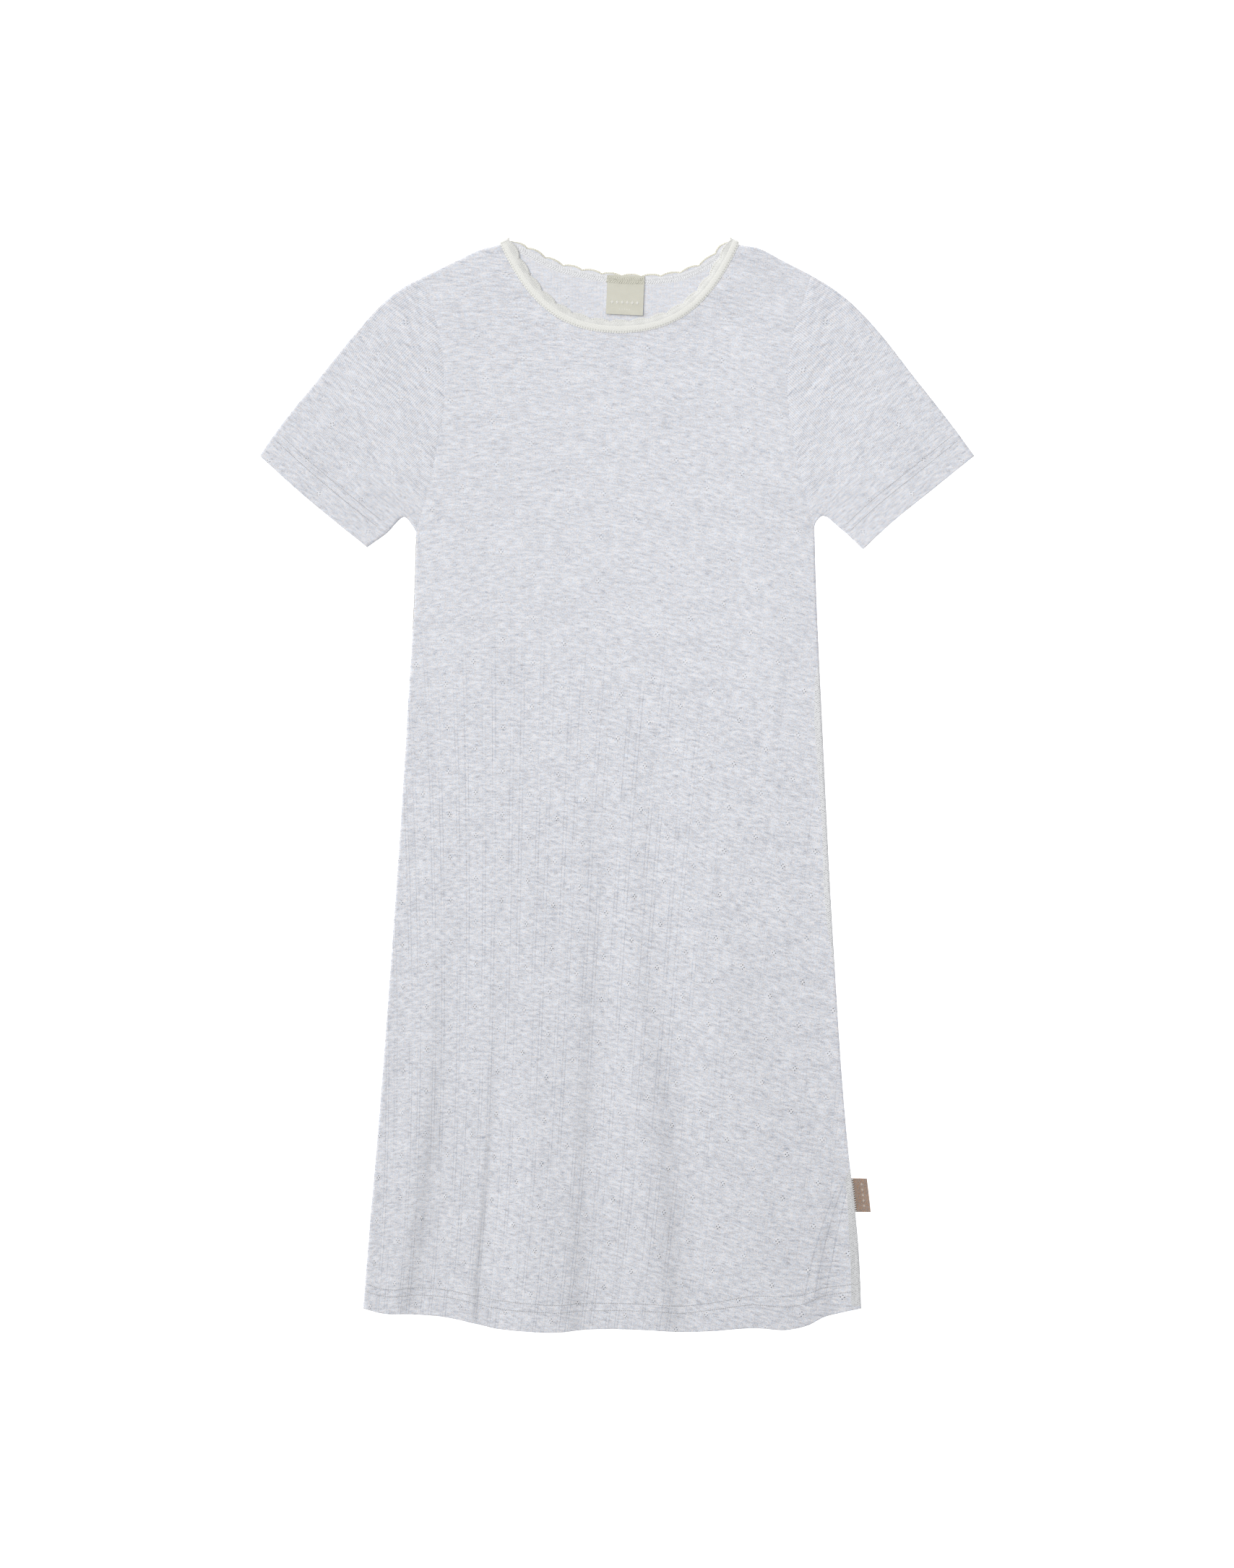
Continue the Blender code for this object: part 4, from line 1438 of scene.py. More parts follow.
def set_uv(piece: Piece, name: str, uv: Array) -> None:
    """Give every corner of a mesh the UV place of its point, read from a grid of them.

    Args:
        piece: The mesh object.
        name: The map's name.
        uv: The points' places, in any grid of pairs.
    """
    mesh = piece.data
    layer = mesh.uv_layers.new(name=name)
    corners = np.empty(len(mesh.loops), dtype=np.int32)
    mesh.loops.foreach_get("vertex_index", corners)
    layer.data.foreach_set("uv", uv.reshape(-1, 2)[corners].astype(np.float32).ravel())


def set_attribute(piece: Piece, name: str, values: Array) -> None:
    """Give every point of a mesh a number."""
    layer = piece.data.attributes.new(name, "FLOAT", "POINT")
    layer.data.foreach_set("value", values.astype(np.float32).ravel())


def wall_faces(rows: int, columns: int) -> list[tuple[int, int, int, int]]:
    """The faces of a closed wall between a lower and an upper grid of points.

    Args:
        rows: How many rows each grid has.
        columns: How many columns each grid has.

    Returns:
        The faces, as corner numbers.
    """
    count = rows * columns
    faces = []
    for row in range(rows - 1):
        for column in range(columns - 1):
            a = row * columns + column
            b, c, d = a + 1, a + columns + 1, a + columns
            faces.append((a, d, c, b))
            faces.append((count + a, count + b, count + c, count + d))
    border = list(range(columns))
    border += [row * columns + columns - 1 for row in range(1, rows)]
    border += [(rows - 1) * columns + column for column in range(columns - 2, -1, -1)]
    border += [row * columns for row in range(rows - 2, 0, -1)]
    for here, there in zip(border, border[1:] + border[:1]):
        faces.append((here, there, count + there, count + here))
    return faces


def shell_piece(name: str, lower: Array, upper: Array, uv_name: str, uv: Array) -> Piece:
    """A closed wall between two grids of points, with one UV map on both.

    Args:
        name: The piece's name.
        lower: The lower grid's points.
        upper: The upper grid's points.
        uv_name: The UV map's name.
        uv: The grids' places on the map.

    Returns:
        The mesh object.
    """
    points = np.vstack([lower.reshape(-1, 3), upper.reshape(-1, 3)])
    piece = mesh_piece(name, points, wall_faces(*lower.shape[:2]))
    set_uv(piece, uv_name, np.tile(uv.reshape(-1, 2), (2, 1)))
    return piece


def ring_faces(rings: int, size: int, start: int, closed: bool, flip: bool) -> list[list[int]]:
    """The faces between rings of points.

    Args:
        rings: How many rings there are.
        size: How many points each has.
        start: The first ring's first point.
        closed: Whether the last ring joins the first.
        flip: Whether the faces turn the other way.

    Returns:
        The faces, as lists of point numbers.
    """
    faces = []
    for ring in range(rings if closed else rings - 1):
        here, there = start + ring * size, start + (ring + 1) % rings * size
        for spot in range(size):
            after = (spot + 1) % size
            corners = [here + spot, here + after, there + after, there + spot]
            faces.append(corners[::-1] if flip else corners)
    return faces


def coons(
    rows: Array, columns: Array, low: Array, high: Array, left: Array, right: Array
) -> Array:
    """Fill a grid from its four border lines.

    Args:
        rows: The shares of the grid's height.
        columns: The shares of its width.
        low: The points of the lower border at those columns.
        high: The points of the upper border.
        left: The points of the left border at those rows.
        right: The points of the right border.

    Returns:
        The grid's points, rows by columns.
    """
    v = rows[:, None, None]
    u = columns[None, :, None]
    across = (1.0 - v) * low[None] + v * high[None]
    along = (1.0 - u) * left[:, None] + u * right[:, None]
    corners = (1.0 - v) * ((1.0 - u) * low[0] + u * low[-1])
    corners = corners + v * ((1.0 - u) * high[0] + u * high[-1])
    return across + along - corners


def edged_shares(count: int, length: float, insets: Sequence[float], both: bool = True) -> Array:
    """Even shares of a length, with extra ones close to its ends.

    Args:
        count: How many even spans there are.
        length: The real length, in metres.
        insets: The extra places' distances from an end, in metres.
        both: Whether the far end has them too.

    Returns:
        The shares in order.
    """
    even = evenly(count + 1)
    extra = np.array(insets) / length
    even = even[(even == 0.0) | (even > extra[-1] * 1.2)]
    shares = np.concatenate([even, extra])
    if both:
        shares = shares[(shares == 1.0) | (shares < 1.0 - extra[-1] * 1.2)]
        shares = np.concatenate([shares, 1.0 - extra])
    return np.unique(shares)


def heights_on(plan: Array, *faces: Face) -> list[Array]:
    """The grids of points that a plan's grid has on each of these faces."""
    x, y = plan[..., 0], plan[..., 1]
    return [np.stack([x, y, face(x, y)], axis=-1) for face in faces]


def thread_piece(name: str, line: Array, radius: float) -> Piece:
    """A thread of round section along a line.

    Args:
        name: The piece's name.
        line: The line's points, one a row.
        radius: The thread's radius.

    Returns:
        The mesh object.
    """
    curve = bpy.data.curves.new(name, "CURVE")
    curve.dimensions = "3D"
    curve.bevel_depth = radius
    curve.bevel_resolution = 1
    curve.use_fill_caps = True
    spline = curve.splines.new("POLY")
    spline.points.add(len(line) - 1)
    spline.points.foreach_set("co", np.column_stack([line, np.ones(len(line))]).ravel())
    piece = bpy.data.objects.new(name, curve)
    bpy.context.scene.collection.objects.link(piece)
    select_only(piece)
    bpy.ops.object.convert(target="MESH")
    piece = bpy.context.view_layer.objects.active
    piece.name = piece.data.name = name
    piece.data.shade_smooth()
    return piece


def laid_strip(name: str, plan: Array, uv: Array, face: Face, lift: float, sink: float) -> Piece:
    """A thin strip of close stitches laid on a face.

    Args:
        name: The piece's name.
        plan: Its grid in plan, rows upward and columns to the right.
        uv: The grid's places in millimetres, along and across the strip.
        face: The height of the face that it lies on.
        lift: How far its upper face stands above that face.
        sink: How far its lower face lies within the cloth.

    Returns:
        The mesh object.
    """
    height = face(plan[..., 0], plan[..., 1])[..., None]
    lower, upper = (np.concatenate([plan, height + shift], axis=-1) for shift in (-sink, lift))
    return shell_piece(name, lower, upper, "strip", uv)


def select_only(piece: Piece) -> None:
    """Deselect everything else, and make one object the active one.

    Args:
        piece: The object to select.
    """
    for item in bpy.context.view_layer.objects:
        item.select_set(False)
    piece.select_set(True)
    bpy.context.view_layer.objects.active = piece


@dataclass(frozen=True)
class Stitch:
    """One short stitch, modelled once and laid along a line many times."""

    length: float
    width: float
    height: float

    def model(self) -> tuple[Array, list[tuple[int, ...]]]:
        """Model one stitch along X as a flattened ball, and take its points and faces.

        Returns:
            The points and the faces.
        """
        bpy.ops.object.select_all(action="DESELECT")
        bpy.ops.mesh.primitive_uv_sphere_add(segments=6, ring_count=5, radius=0.5)
        ball = bpy.context.active_object
        bpy.ops.object.mode_set(mode="EDIT")
        bpy.ops.mesh.select_all(action="SELECT")
        bpy.ops.transform.rotate(
            value=math.pi / 2.0, orient_axis="Y", center_override=(0.0, 0.0, 0.0)
        )
        bpy.ops.transform.resize(value=(self.length, self.width, self.height))
        bpy.ops.object.mode_set(mode="OBJECT")
        points = np.array([vertex.co for vertex in ball.data.vertices])
        faces = [tuple(face.vertices) for face in ball.data.polygons]
        bpy.data.objects.remove(ball, do_unlink=True)
        return points, faces

    def sew(self, name: str, places: Array, directions: Array) -> Piece:
        """Lay the stitch at many places.

        Args:
            name: The piece's name.
            places: The stitches' middles, one a row.
            directions: Their directions, one a row, of any length.

        Returns:
            All the stitches as one object.
        """
        points, faces = self.model()
        along = directions / np.linalg.norm(directions, axis=1, keepdims=True)
        side = np.cross(np.array([0.0, 0.0, 1.0]), along)
        side /= np.linalg.norm(side, axis=1, keepdims=True)
        up = np.cross(along, side)
        frames = np.stack([along, side, up], axis=1)
        laid = np.einsum("pi,kij->kpj", points, frames) + places[:, None]
        starts = range(0, len(places) * len(points), len(points))
        laid_faces = [tuple(start + at for at in face) for start in starts for face in faces]
        return mesh_piece(name, laid.reshape(-1, 3), laid_faces, 180.0)


def stitch_line(line: Array, pitch: float, start: float = 0.5) -> tuple[Array, Array]:
    """Places at an even pitch along a line, and the directions there.

    Args:
        line: The line's points in space.
        pitch: The distance from stitch to stitch.
        start: The first place, in pitches.

    Returns:
        The places and the directions.
    """
    marks = np.concatenate([[0.0], np.cumsum(np.linalg.norm(np.diff(line, axis=0), axis=1))])
    count = max(1, round(marks[-1] / pitch))
    wanted = (np.arange(count) + start) * marks[-1] / count

    def read(at: Array) -> Array:
        """The points at these lengths."""
        return np.stack([np.interp(at, marks, line[:, axis]) for axis in range(3)], axis=1)

    half = pitch * 0.3
    return read(wanted), read(wanted + half) - read(wanted - half)


# ---- panels and sleeves


EDGE_INSETS = tuple(inset * MM for inset in (0.12, 0.35, 0.7, 1.15, 1.7, 2.4, 3.4, 4.8))
OPEN_INSETS = tuple(inset * MM for inset in (0.1, 0.25, 0.5, 1.1))


@dataclass
class BodyPanel:
    """The front or the back: a thin shell between hem, side seams, armholes and neckline."""

    name: str
    node: str
    drape: Drape
    is_front: bool
    neck_columns: int
    side_rows: int = 150
    arm_rows: int = 56
    shoulder_columns: int = 22
    # where the dropped needles and the holes fade, up the dress and to the right
    needles_from: float = 150.0 * MM
    needles_run: float = 130.0 * MM
    needles_fade: float = 0.6
    fade_from: float = 20.0 * MM
    fade_run: float = 60.0 * MM
    clear_from: float = 170.0 * MM
    clear_run: float = 200.0 * MM
    clear_least: float = 0.3
    clear_behind: float = 0.25

    def borders(self) -> tuple[Array, ...]:
        """The rows' and columns' shares, and the points of the four borders.

        Returns:
            The two lists of shares, then the lower, upper, left and right border.
        """
        cut = self.drape.cut
        side_length, arm_length = cut.sides[0].length, cut.arms[0].length
        side_shares = edged_shares(self.side_rows, side_length, OPEN_INSETS, both=False)
        arm_shares = edged_shares(self.arm_rows, arm_length, EDGE_INSETS, both=False)
        arm_shares = 1.0 - arm_shares[-2::-1]
        side_part = side_length / (side_length + arm_length)
        rows = np.concatenate([side_shares * side_part, side_part + arm_shares * (1.0 - side_part)])
        sides = [
            np.vstack([cut.sides[side.value].at(side_shares), cut.arms[side.value].at(arm_shares)])
            for side in Side
        ]
        left, right = cut.shoulder_seams
        shares = edged_shares(self.shoulder_columns, left.length, EDGE_INSETS, both=False)
        neck_shares = evenly(self.neck_columns + 1)
        if self.is_front:
            neck = cut.front_neck(cut.panel_under_trim)
            neck_points, neck_length = neck.at(neck_shares), neck.length
            hem_rows = cut.front_hem
        else:
            neck_points, neck_length = cut.back_panel_neck(neck_shares), cut.back_roots.length
            hem_rows = cut.back_hem
        lengths = (left.length, neck_length, right.length)
        columns = np.concatenate(
            [
                shares * lengths[0],
                lengths[0] + neck_shares[1:-1] * lengths[1],
                lengths[0] + lengths[1] + (1.0 - shares[::-1]) * lengths[2],
            ]
        ) / sum(lengths)
        top = np.vstack([left.at(shares), neck_points[1:-1], right.at(shares[::-1])])
        return rows, columns, table_path(hem_rows, 0, 1).at(columns), top, sides[0], sides[1]

    def mark(self, piece: Piece, x: Array, y: Array) -> None:
        """Say where holes, dropped needles and the hem's stitches show.

        Args:
            piece: The finished shell.
            x: The x of one of its faces' points.
            y: Their y.
        """
        down = smoothstep((self.needles_from - y) / self.needles_run)
        across = 1.0 - self.needles_fade * smoothstep((x - self.fade_from) / self.fade_run)
        clear = smoothstep((self.clear_from - y) / self.clear_run)
        clear = self.clear_least + (1.0 - self.clear_least) * clear
        if not self.is_front:
            clear, down = np.full_like(y, self.clear_behind), np.zeros_like(y)
        set_attribute(piece, "open", np.tile(clear, 2))
        set_attribute(piece, "needle", np.tile(down * across, 2))
        set_attribute(piece, "sewn", np.tile(self.drape.hem_place(x, y), 2))

    def build(self, material: Material) -> Piece:
        """Build the shell and dress it.

        Args:
            material: The panel's finish.

        Returns:
            The finished piece.
        """
        plan = coons(*self.borders())
        x, y = plan[..., 0], plan[..., 1]
        if self.is_front:
            grain = BodyGrain()
            lower, upper = heights_on(plan, self.drape.front_low, self.drape.front_top)
            drop = self.drape.open_drop(x, y)
            lower[..., 2] += drop
            upper[..., 2] -= drop
        else:
            grain = StraightGrain()
            lower, upper = heights_on(plan, self.drape.back_low, self.drape.back_top)
        piece = shell_piece(self.name, lower, upper, "grain", grain.at(x, y))
        self.mark(piece, x.ravel(), y.ravel())
        finish_piece(piece, material, Slot.JERSEY)
        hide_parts(self.node)
        return piece


@dataclass
class Sleeve:
    """A short set-in sleeve: one flattened tube, open at the armhole and at the cuff."""

    name: str
    node: str
    drape: Drape
    side: Side
    rows: int = 52
    columns: int = 64
    overlap: float = 0.3 * MM
    tuck: float = 0.08 * MM
    tuck_run: float = 1.2 * MM
    inner_share: float = 0.25
    clear: float = 0.35
    needles: float = 0.3
    sewn_shift: float = 3.0

    def plan(self) -> Array:
        """The grid in plan: rows from armhole to cuff, columns from underarm to top.

        Returns:
            The grid's points.
        """
        cut, at = self.drape.cut, self.side.value
        outward = 1.0 if self.side is Side.LEFT else -1.0
        length = cut.sleeve_edges[at].length
        rows = edged_shares(self.rows, length, EDGE_INSETS)
        columns = edged_shares(self.columns, cut.arms[at].length, EDGE_INSETS)
        armhole = cut.arms[at].at(columns) + outward * cut.arms[at].normal(columns) * -self.overlap
        under, top = cut.underarm_edges[at].at(rows), cut.sleeve_edges[at].at(rows)
        fade = (1.0 - rows)[:, None]
        under = under + fade * (armhole[0] - under[0])
        top = top + fade * (armhole[-1] - top[0])
        return coons(rows, columns, armhole, cut.cuff_edges[at].at(columns), under, top)

    def walls(self, plan: Array) -> tuple[Array, Array]:
        """The outer and the inner wall's points, rings by places round the tube.

        Args:
            plan: The sleeve's grid in plan.

        Returns:
            The outer and the inner wall's points.
        """
        x, y = plan[..., 0], plan[..., 1]
        across = plan[:, -1:] - plan[:, :1]
        across = across / np.linalg.norm(across, axis=-1, keepdims=True)
        share = evenly(plan.shape[1])[None, :, None]
        inner_plan = plan + across * self.drape.wall * (1.0 - 2.0 * share)
        low, top = heights_on(plan, self.drape.back_low, self.drape.front_top)
        inner_low, inner_top = heights_on(inner_plan, self.drape.back_top, self.drape.front_low)
        from_arm = line_distance(self.drape.cut.arm_lines[self.side.value], x, y)
        drop = self.drape.open_drop(x, y) + self.tuck * (1.0 - smoothstep(from_arm / self.tuck_run))
        low[..., 2] += drop
        top[..., 2] -= drop
        inner_low[..., 2] -= self.inner_share * drop
        inner_top[..., 2] += self.inner_share * drop
        outer = np.concatenate([low, top[:, ::-1]], axis=1)
        return outer, np.concatenate([inner_low, inner_top[:, ::-1]], axis=1)

    def faces(self, rings: int, size: int) -> list[list[int]]:
        """The faces of both walls and of the rims at the armhole and the cuff.

        Args:
            rings: How many rings each wall has.
            size: How many points each ring has.

        Returns:
            The faces, as lists of point numbers.
        """
        mirrored = self.side is Side.LEFT
        count = rings * size
        faces = ring_faces(rings, size, 0, False, mirrored)
        faces += ring_faces(rings, size, count, False, not mirrored)
        for start, flip in ((0, not mirrored), (count - size, mirrored)):
            for spot in range(size):
                here, there = start + spot, start + (spot + 1) % size
                corners = [here, there, count + there, count + here]
                faces.append(corners[::-1] if flip else corners)
        return faces

    def build(self, material: Material) -> Piece:
        """Build the tube with its inner wall and dress it.

        Args:
            material: The sleeve's finish.

        Returns:
            The finished piece.
        """
        outer, inner = self.walls(self.plan())
        points = np.vstack([outer.reshape(-1, 3), inner.reshape(-1, 3)])
        x, y = points[:, 0], points[:, 1]
        piece = mesh_piece(self.name, points, self.faces(*outer.shape[:2]))
        set_uv(piece, "grain", SleeveGrain(self.side).at(x, y))
        cuff = self.drape.cut.cuff_edges[self.side.value].at(evenly(61))
        set_attribute(piece, "open", np.full(len(points), self.clear))
        set_attribute(piece, "needle", np.full(len(points), self.needles))
        set_attribute(piece, "sewn", line_distance(cuff, x, y) / MM - self.sewn_shift)
        finish_piece(piece, material, Slot.JERSEY)
        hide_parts(self.node)
        return piece


# ---- neck trim


@dataclass
class NeckTrim:
    """The elastic band with its lace edge, one ring round the whole neck.

    A station is one place along it: its point on the outer edge, the direction across, the turn
    about the shoulder's fold, the width, the scallops' phase, and the way along up to it.
    """

    drape: Drape
    steps: int = 32
    fold_steps: int = 14
    fold_pitch: float = 0.25 * MM
    fold_bulge: float = 1.0 * MM
    band_width: float = 4.7 * MM
    seat: float = 0.08 * MM
    picots: float = 8.0
    picot_depth: float = 0.6 * MM
    picot_share: float = 0.6
    picot_dip: float = 0.12 * MM
    back_fullness: float = 1.5
    front_growth: float = 0.8 * MM
    growth_run: float = 12.0 * MM
    hang: float = 0.95 * MM
    hang_run: float = 20.0 * MM
    hang_from: float = 5.2 * MM
    hang_width: float = 3.2 * MM
    lace_tuck: float = 0.2 * MM
    lace_short: float = 0.5 * MM
    cord_height: float = 0.22 * MM
    cord_sides: int = 8
    # the small dark stitches along the band's outer edge: the seam's stitch line, darkened as
    # painted shadow under its picots
    dot: Stitch = Stitch(0.55 * MM, 0.36 * MM, 0.16 * MM)
    dot_pitch: float = 1.3 * MM
    dot_out: float = 0.22 * MM
    dot_lift: float = 0.04 * MM
    # across the strip from its outer edge, out from the cloth, in mm
    band_profile: tuple[Row, ...] = (
        (0, 0.02), (0, 0.07), (0.3, 0.15), (0.7, 0.26), (1, 0.33), (1.25, 0.3), (1.5, 0.36),
        (2.4, 0.43), (3.4, 0.43), (4.1, 0.39), (4.5, 0.33), (4.7, 0.25), (4.7, 0.1),
    )
    # share of the way across, out from the cloth in mm
    lace_profile: tuple[Row, ...] = (
        (0, 0.1), (0, 0.34), (0.3, 0.38), (0.6, 0.38), (0.85, 0.35), (1, 0.3), (1, 0.06),
    )

    def __post_init__(self) -> None:
        """Work out the stations once, as one array for each of their numbers."""
        columns = [np.array(column) for column in zip(*self.stations())]
        self.outer, self.across, self.turn, self.width, self.phase = columns
        steps = np.linalg.norm(np.diff(self.outer, axis=0, prepend=self.outer[:1]), axis=1)
        self.along = np.cumsum(np.where(steps == 0.0, self.fold_pitch, steps))
        self.front_end = self.along[self.turn == 0.0].max()

    def stations(self) -> list[tuple]:
        """The stations: front from left to right, round the right shoulder, back, and left.

        Returns:
            The stations' numbers, one station a row.
        """
        cut = self.drape.cut
        front_length = cut.front_neck(cut.scallop_root).length
        front_count = round(front_length / cut.scallop_pitch) * self.steps
        back_count = round(cut.back_roots.length / cut.scallop_pitch) * self.steps
        stations = []
        for step in range(front_count + 1):
            share, phase = step / front_count, step / self.steps
            from_end = min(share, 1.0 - share) * front_length
            width = cut.scallop(phase, cut.scallop_tip)
            width += self.front_growth * smoothstep(from_end / self.growth_run)
            place = cut.neck_outer.at(share), cut.neck_outer.normal(share)
            stations.append((*place, 0.0, width, phase))
        turned = front_count / self.steps
        stations += self.fold(Side.RIGHT, turned)
        for step in range(back_count + 1):
            phase = turned + step / self.steps
            place = cut.back_trim_frame(1.0 - step / back_count)
            stations.append((*place, math.pi, cut.scallop(phase, cut.scallop_tip_back), phase))
        return stations + self.fold(Side.LEFT, turned + back_count / self.steps)[::-1]

    def fold(self, side: Side, phase: float) -> list[tuple]:
        """The stations round one shoulder's fold, from the front to the back.

        Args:
            side: Which side.
            phase: The scallops' phase there.

        Returns:
            The stations' numbers, one station a row.
        """
        place = self.drape.cut.fold_starts[side.value], self.drape.cut.fold_across[side.value]
        stations = []
        for step in range(self.fold_steps):
            turn = math.pi * (step + 1) / (self.fold_steps + 1)
            width = self.drape.cut.scallop_root + self.fold_bulge * math.sin(turn)
            stations.append((*place, turn, width, phase))
        return stations

    def sag(self, reach: Array) -> Array:
        """How far the lace hangs down past the front cloth's neck edge.

        Args:
            reach: The points' reach across the trim, stations by points.

        Returns:
            The distances.
        """
        ends = np.minimum(self.along - self.along[0], self.front_end - self.along)
        loose = np.where(self.turn == 0.0, smoothstep(ends / self.hang_run), 0.0)[:, None]
        return self.hang * loose * smoothstep((reach - self.hang_from) / self.hang_width)

    def place(self, profiles: Array) -> Array:
        """Carry a profile at each station into space.

        Args:
            profiles: For each station, points of reach across and distance out, in metres.

        Returns:
            The points, stations by profile by three.
        """
        cut = self.drape.cut
        across, turn = self.across[:, None], self.turn[:, None]
        reach = profiles[..., 0]
        out = profiles[..., 1] * (1.0 + self.back_fullness * turn / math.pi)
        plan = self.outer[:, None] + across * reach[..., None]
        outward = np.stack([-across[..., 1], across[..., 0]], axis=-1)
        outward = np.where(across[..., :1] < 0.0, -outward, outward)
        on_front = self.drape.front_top(plan[..., 0], plan[..., 1])
        full = cut.front_face(plan[..., 0], plan[..., 1])
        face = np.maximum(on_front, full) + self.seat - self.sag(reach)
        radius = (face - cut.band_wall) / 2.0 + out
        height = (face + cut.band_wall) / 2.0 + radius * np.cos(turn)
        height = np.where(turn == math.pi, cut.band_wall - out, height)
        shift = np.where(turn == math.pi, 0.0, radius * np.sin(turn))
        plan = plan + outward * shift[..., None]
        return np.concatenate([plan, height[..., None]], axis=-1)

    def ring(self, name: str, profiles: Array, across: Array) -> Piece:
        """A closed ring of one profile, with a UV map of millimetres.

        Args:
            name: The piece's name.
            profiles: For each station, points of reach across and distance out, in metres.
            across: The UV map's places across the profiles, in metres.

        Returns:
            The mesh object.
        """
        points = self.place(profiles)
        faces = ring_faces(*points.shape[:2], 0, True, True)
        piece = mesh_piece(name, points.reshape(-1, 3), faces, 50.0)
        set_uv(piece, "strip", pairs(self.along[:, None], across) / MM)
        return piece

    def band(self, material: Material) -> Piece:
        """The solid band, with picots along its outer edge and a furrow beside them.

        Args:
            material: Its finish.

        Returns:
            The finished piece.
        """
        loops = np.abs(np.sin(math.pi * self.picots * self.phase))[:, None]
        profiles = np.tile(np.array(self.band_profile) * MM, (len(loops), 1, 1))
        profiles[:, :4, 0] -= self.picot_depth * (loops - self.picot_share)
        profiles[:, 2:4, 1] -= self.picot_dip * (1.0 - loops)
        piece = self.ring("neck_band", profiles, profiles[..., 0])
        set_attribute(piece, "picot", np.repeat(loops, len(self.band_profile)))
        finish_piece(piece, material, Slot.ELASTIC)
        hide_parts("neck_trim")
        return piece

    def lace(self, material: Material) -> Piece:
        """The close lace between the band and the scallops' cord.

        Args:
            material: Its finish.

        Returns:
            The finished piece.
        """
        shares, out = np.array(self.lace_profile).T
        inner = self.band_width - self.lace_tuck
        reach = inner + (self.width - self.lace_short - inner)[:, None] * shares
        piece = self.ring("neck_lace", pairs(reach, out * MM), reach)
        set_uv(piece, "scallop", pairs(self.phase[:, None], shares))
        return finish_piece(piece, material, Slot.ELASTIC)

    def cord(self, material: Material) -> Piece:
        """The cord along the scallops' edge.

        Args:
            material: Its finish.

        Returns:
            The finished piece.
        """
        half = self.drape.cut.cord_width / 2.0
        turns = math.pi + 2.0 * math.pi * np.arange(self.cord_sides) / self.cord_sides
        across, out = half * np.cos(turns), self.cord_height * (1.0 - np.sin(turns))
        reach = (self.width - half)[:, None] + across
        piece = self.ring("neck_scallop_cord", pairs(reach, out), across)
        set_attribute(piece, "behind", np.repeat(self.turn / math.pi, self.cord_sides))
        return finish_piece(piece, material, Slot.ELASTIC)

    def edge_shadow_dots(self, material: Material) -> Piece:
        """The seam's stitches along the band's outer edge, dark as painted shadow under its picots.

        Args:
            material: Its finish.

        Returns:
            The finished piece.
        """
        shares, path = evenly(500), self.drape.cut.neck_outer
        plan = path.at(shares) - path.normal(shares) * self.dot_out
        height = self.drape.front_top(plan[:, 0], plan[:, 1]) + self.dot_lift
        places = stitch_line(np.column_stack([plan, height]), self.dot_pitch)
        return finish_piece(self.dot.sew("neck_edge_shadow_stitches", *places), material, Slot.JERSEY)


@dataclass(frozen=True)
class BackCover:
    """The covering stitch that holds the trim, seen on the inside of the back neck."""

    cut: Cut
    low: float = 0.4 * MM
    high: float = 5.2 * MM
    lift: float = 0.06 * MM
    sink: float = 0.15 * MM
    column: float = 0.8 * MM
    rows: int = 9
    pitch: float = 1.5 * MM
    apart: float = 1.1 * MM
    lean: float = math.radians(38.0)
    thread: Stitch = Stitch(2.5 * MM, 0.64 * MM, 0.3 * MM)
    thread_lift: float = 0.05 * MM

    def ground(self, name: str, shares: Row, face: Face) -> Piece:
        """The strip of close stitches between two places along the back neckline.

        Args:
            name: The piece's name.
            shares: The first and the last place along the back neckline.
            face: The height of the face that it lies on.

        Returns:
            The mesh object.
        """
        length = self.cut.back_roots.length
        marks = np.linspace(*shares, int((shares[1] - shares[0]) * length / self.column))
        frames = [self.cut.back_trim_frame(share) for share in marks]
        reaches = np.linspace(self.low, self.high, self.rows)
        plan = np.array([[outer + across * reach for outer, across in frames] for reach in reaches])
        uv = pairs(marks * length, reaches[:, None]) / MM
        return laid_strip(name, plan, uv, face, self.lift, self.sink)

    def threads(self, name: str, shares: Row, face: Face) -> Piece:
        """The slanting threads over that strip, in two rows.

        Args:
            name: The piece's name.
            shares: The first and the last place along the back neckline.
            face: The height of the face that it lies on.

        Returns:
            The mesh object.
        """
        length = self.cut.back_roots.length
        count = round((shares[1] - shares[0]) * length / self.pitch)
        marks = shares[0] + (np.arange(count) + 0.5) * self.pitch / length
        frames = zip(*(self.cut.back_trim_frame(share) for share in marks))
        outer, across = (np.repeat(np.array(part), 2, axis=0) for part in frames)
        row = np.tile([-1.0, 1.0], count)[:, None]
        plan = outer + across * ((self.low + self.high) / 2.0 + row * self.apart)
        height = face(plan[:, 0], plan[:, 1]) + self.lift + self.thread_lift
        along = np.stack([across[:, 1], -across[:, 0]], axis=-1)
        lean = across * math.cos(self.lean) - row * along * math.sin(self.lean)
        directions = np.column_stack([lean, np.zeros(len(lean))])
        return self.thread.sew(name, np.column_stack([plan, height]), directions)

    def build(
        self, name: str, shares: Row, face: Face, materials: Sequence[Material]
    ) -> list[Piece]:
        """Build the strip and its threads and dress them.

        Args:
            name: The strip's name; the threads take the same name and "_threads".
            shares: The first and the last place along the back neckline.
            face: The height of the face that it lies on.
            materials: The finishes of the strip and of the threads.

        Returns:
            The strip and the threads.
        """
        pieces = (self.ground(name, shares, face), self.threads(f"{name}_threads", shares, face))
        return [finish_piece(*dressed, Slot.JERSEY) for dressed in zip(pieces, materials)]


# ---- labels


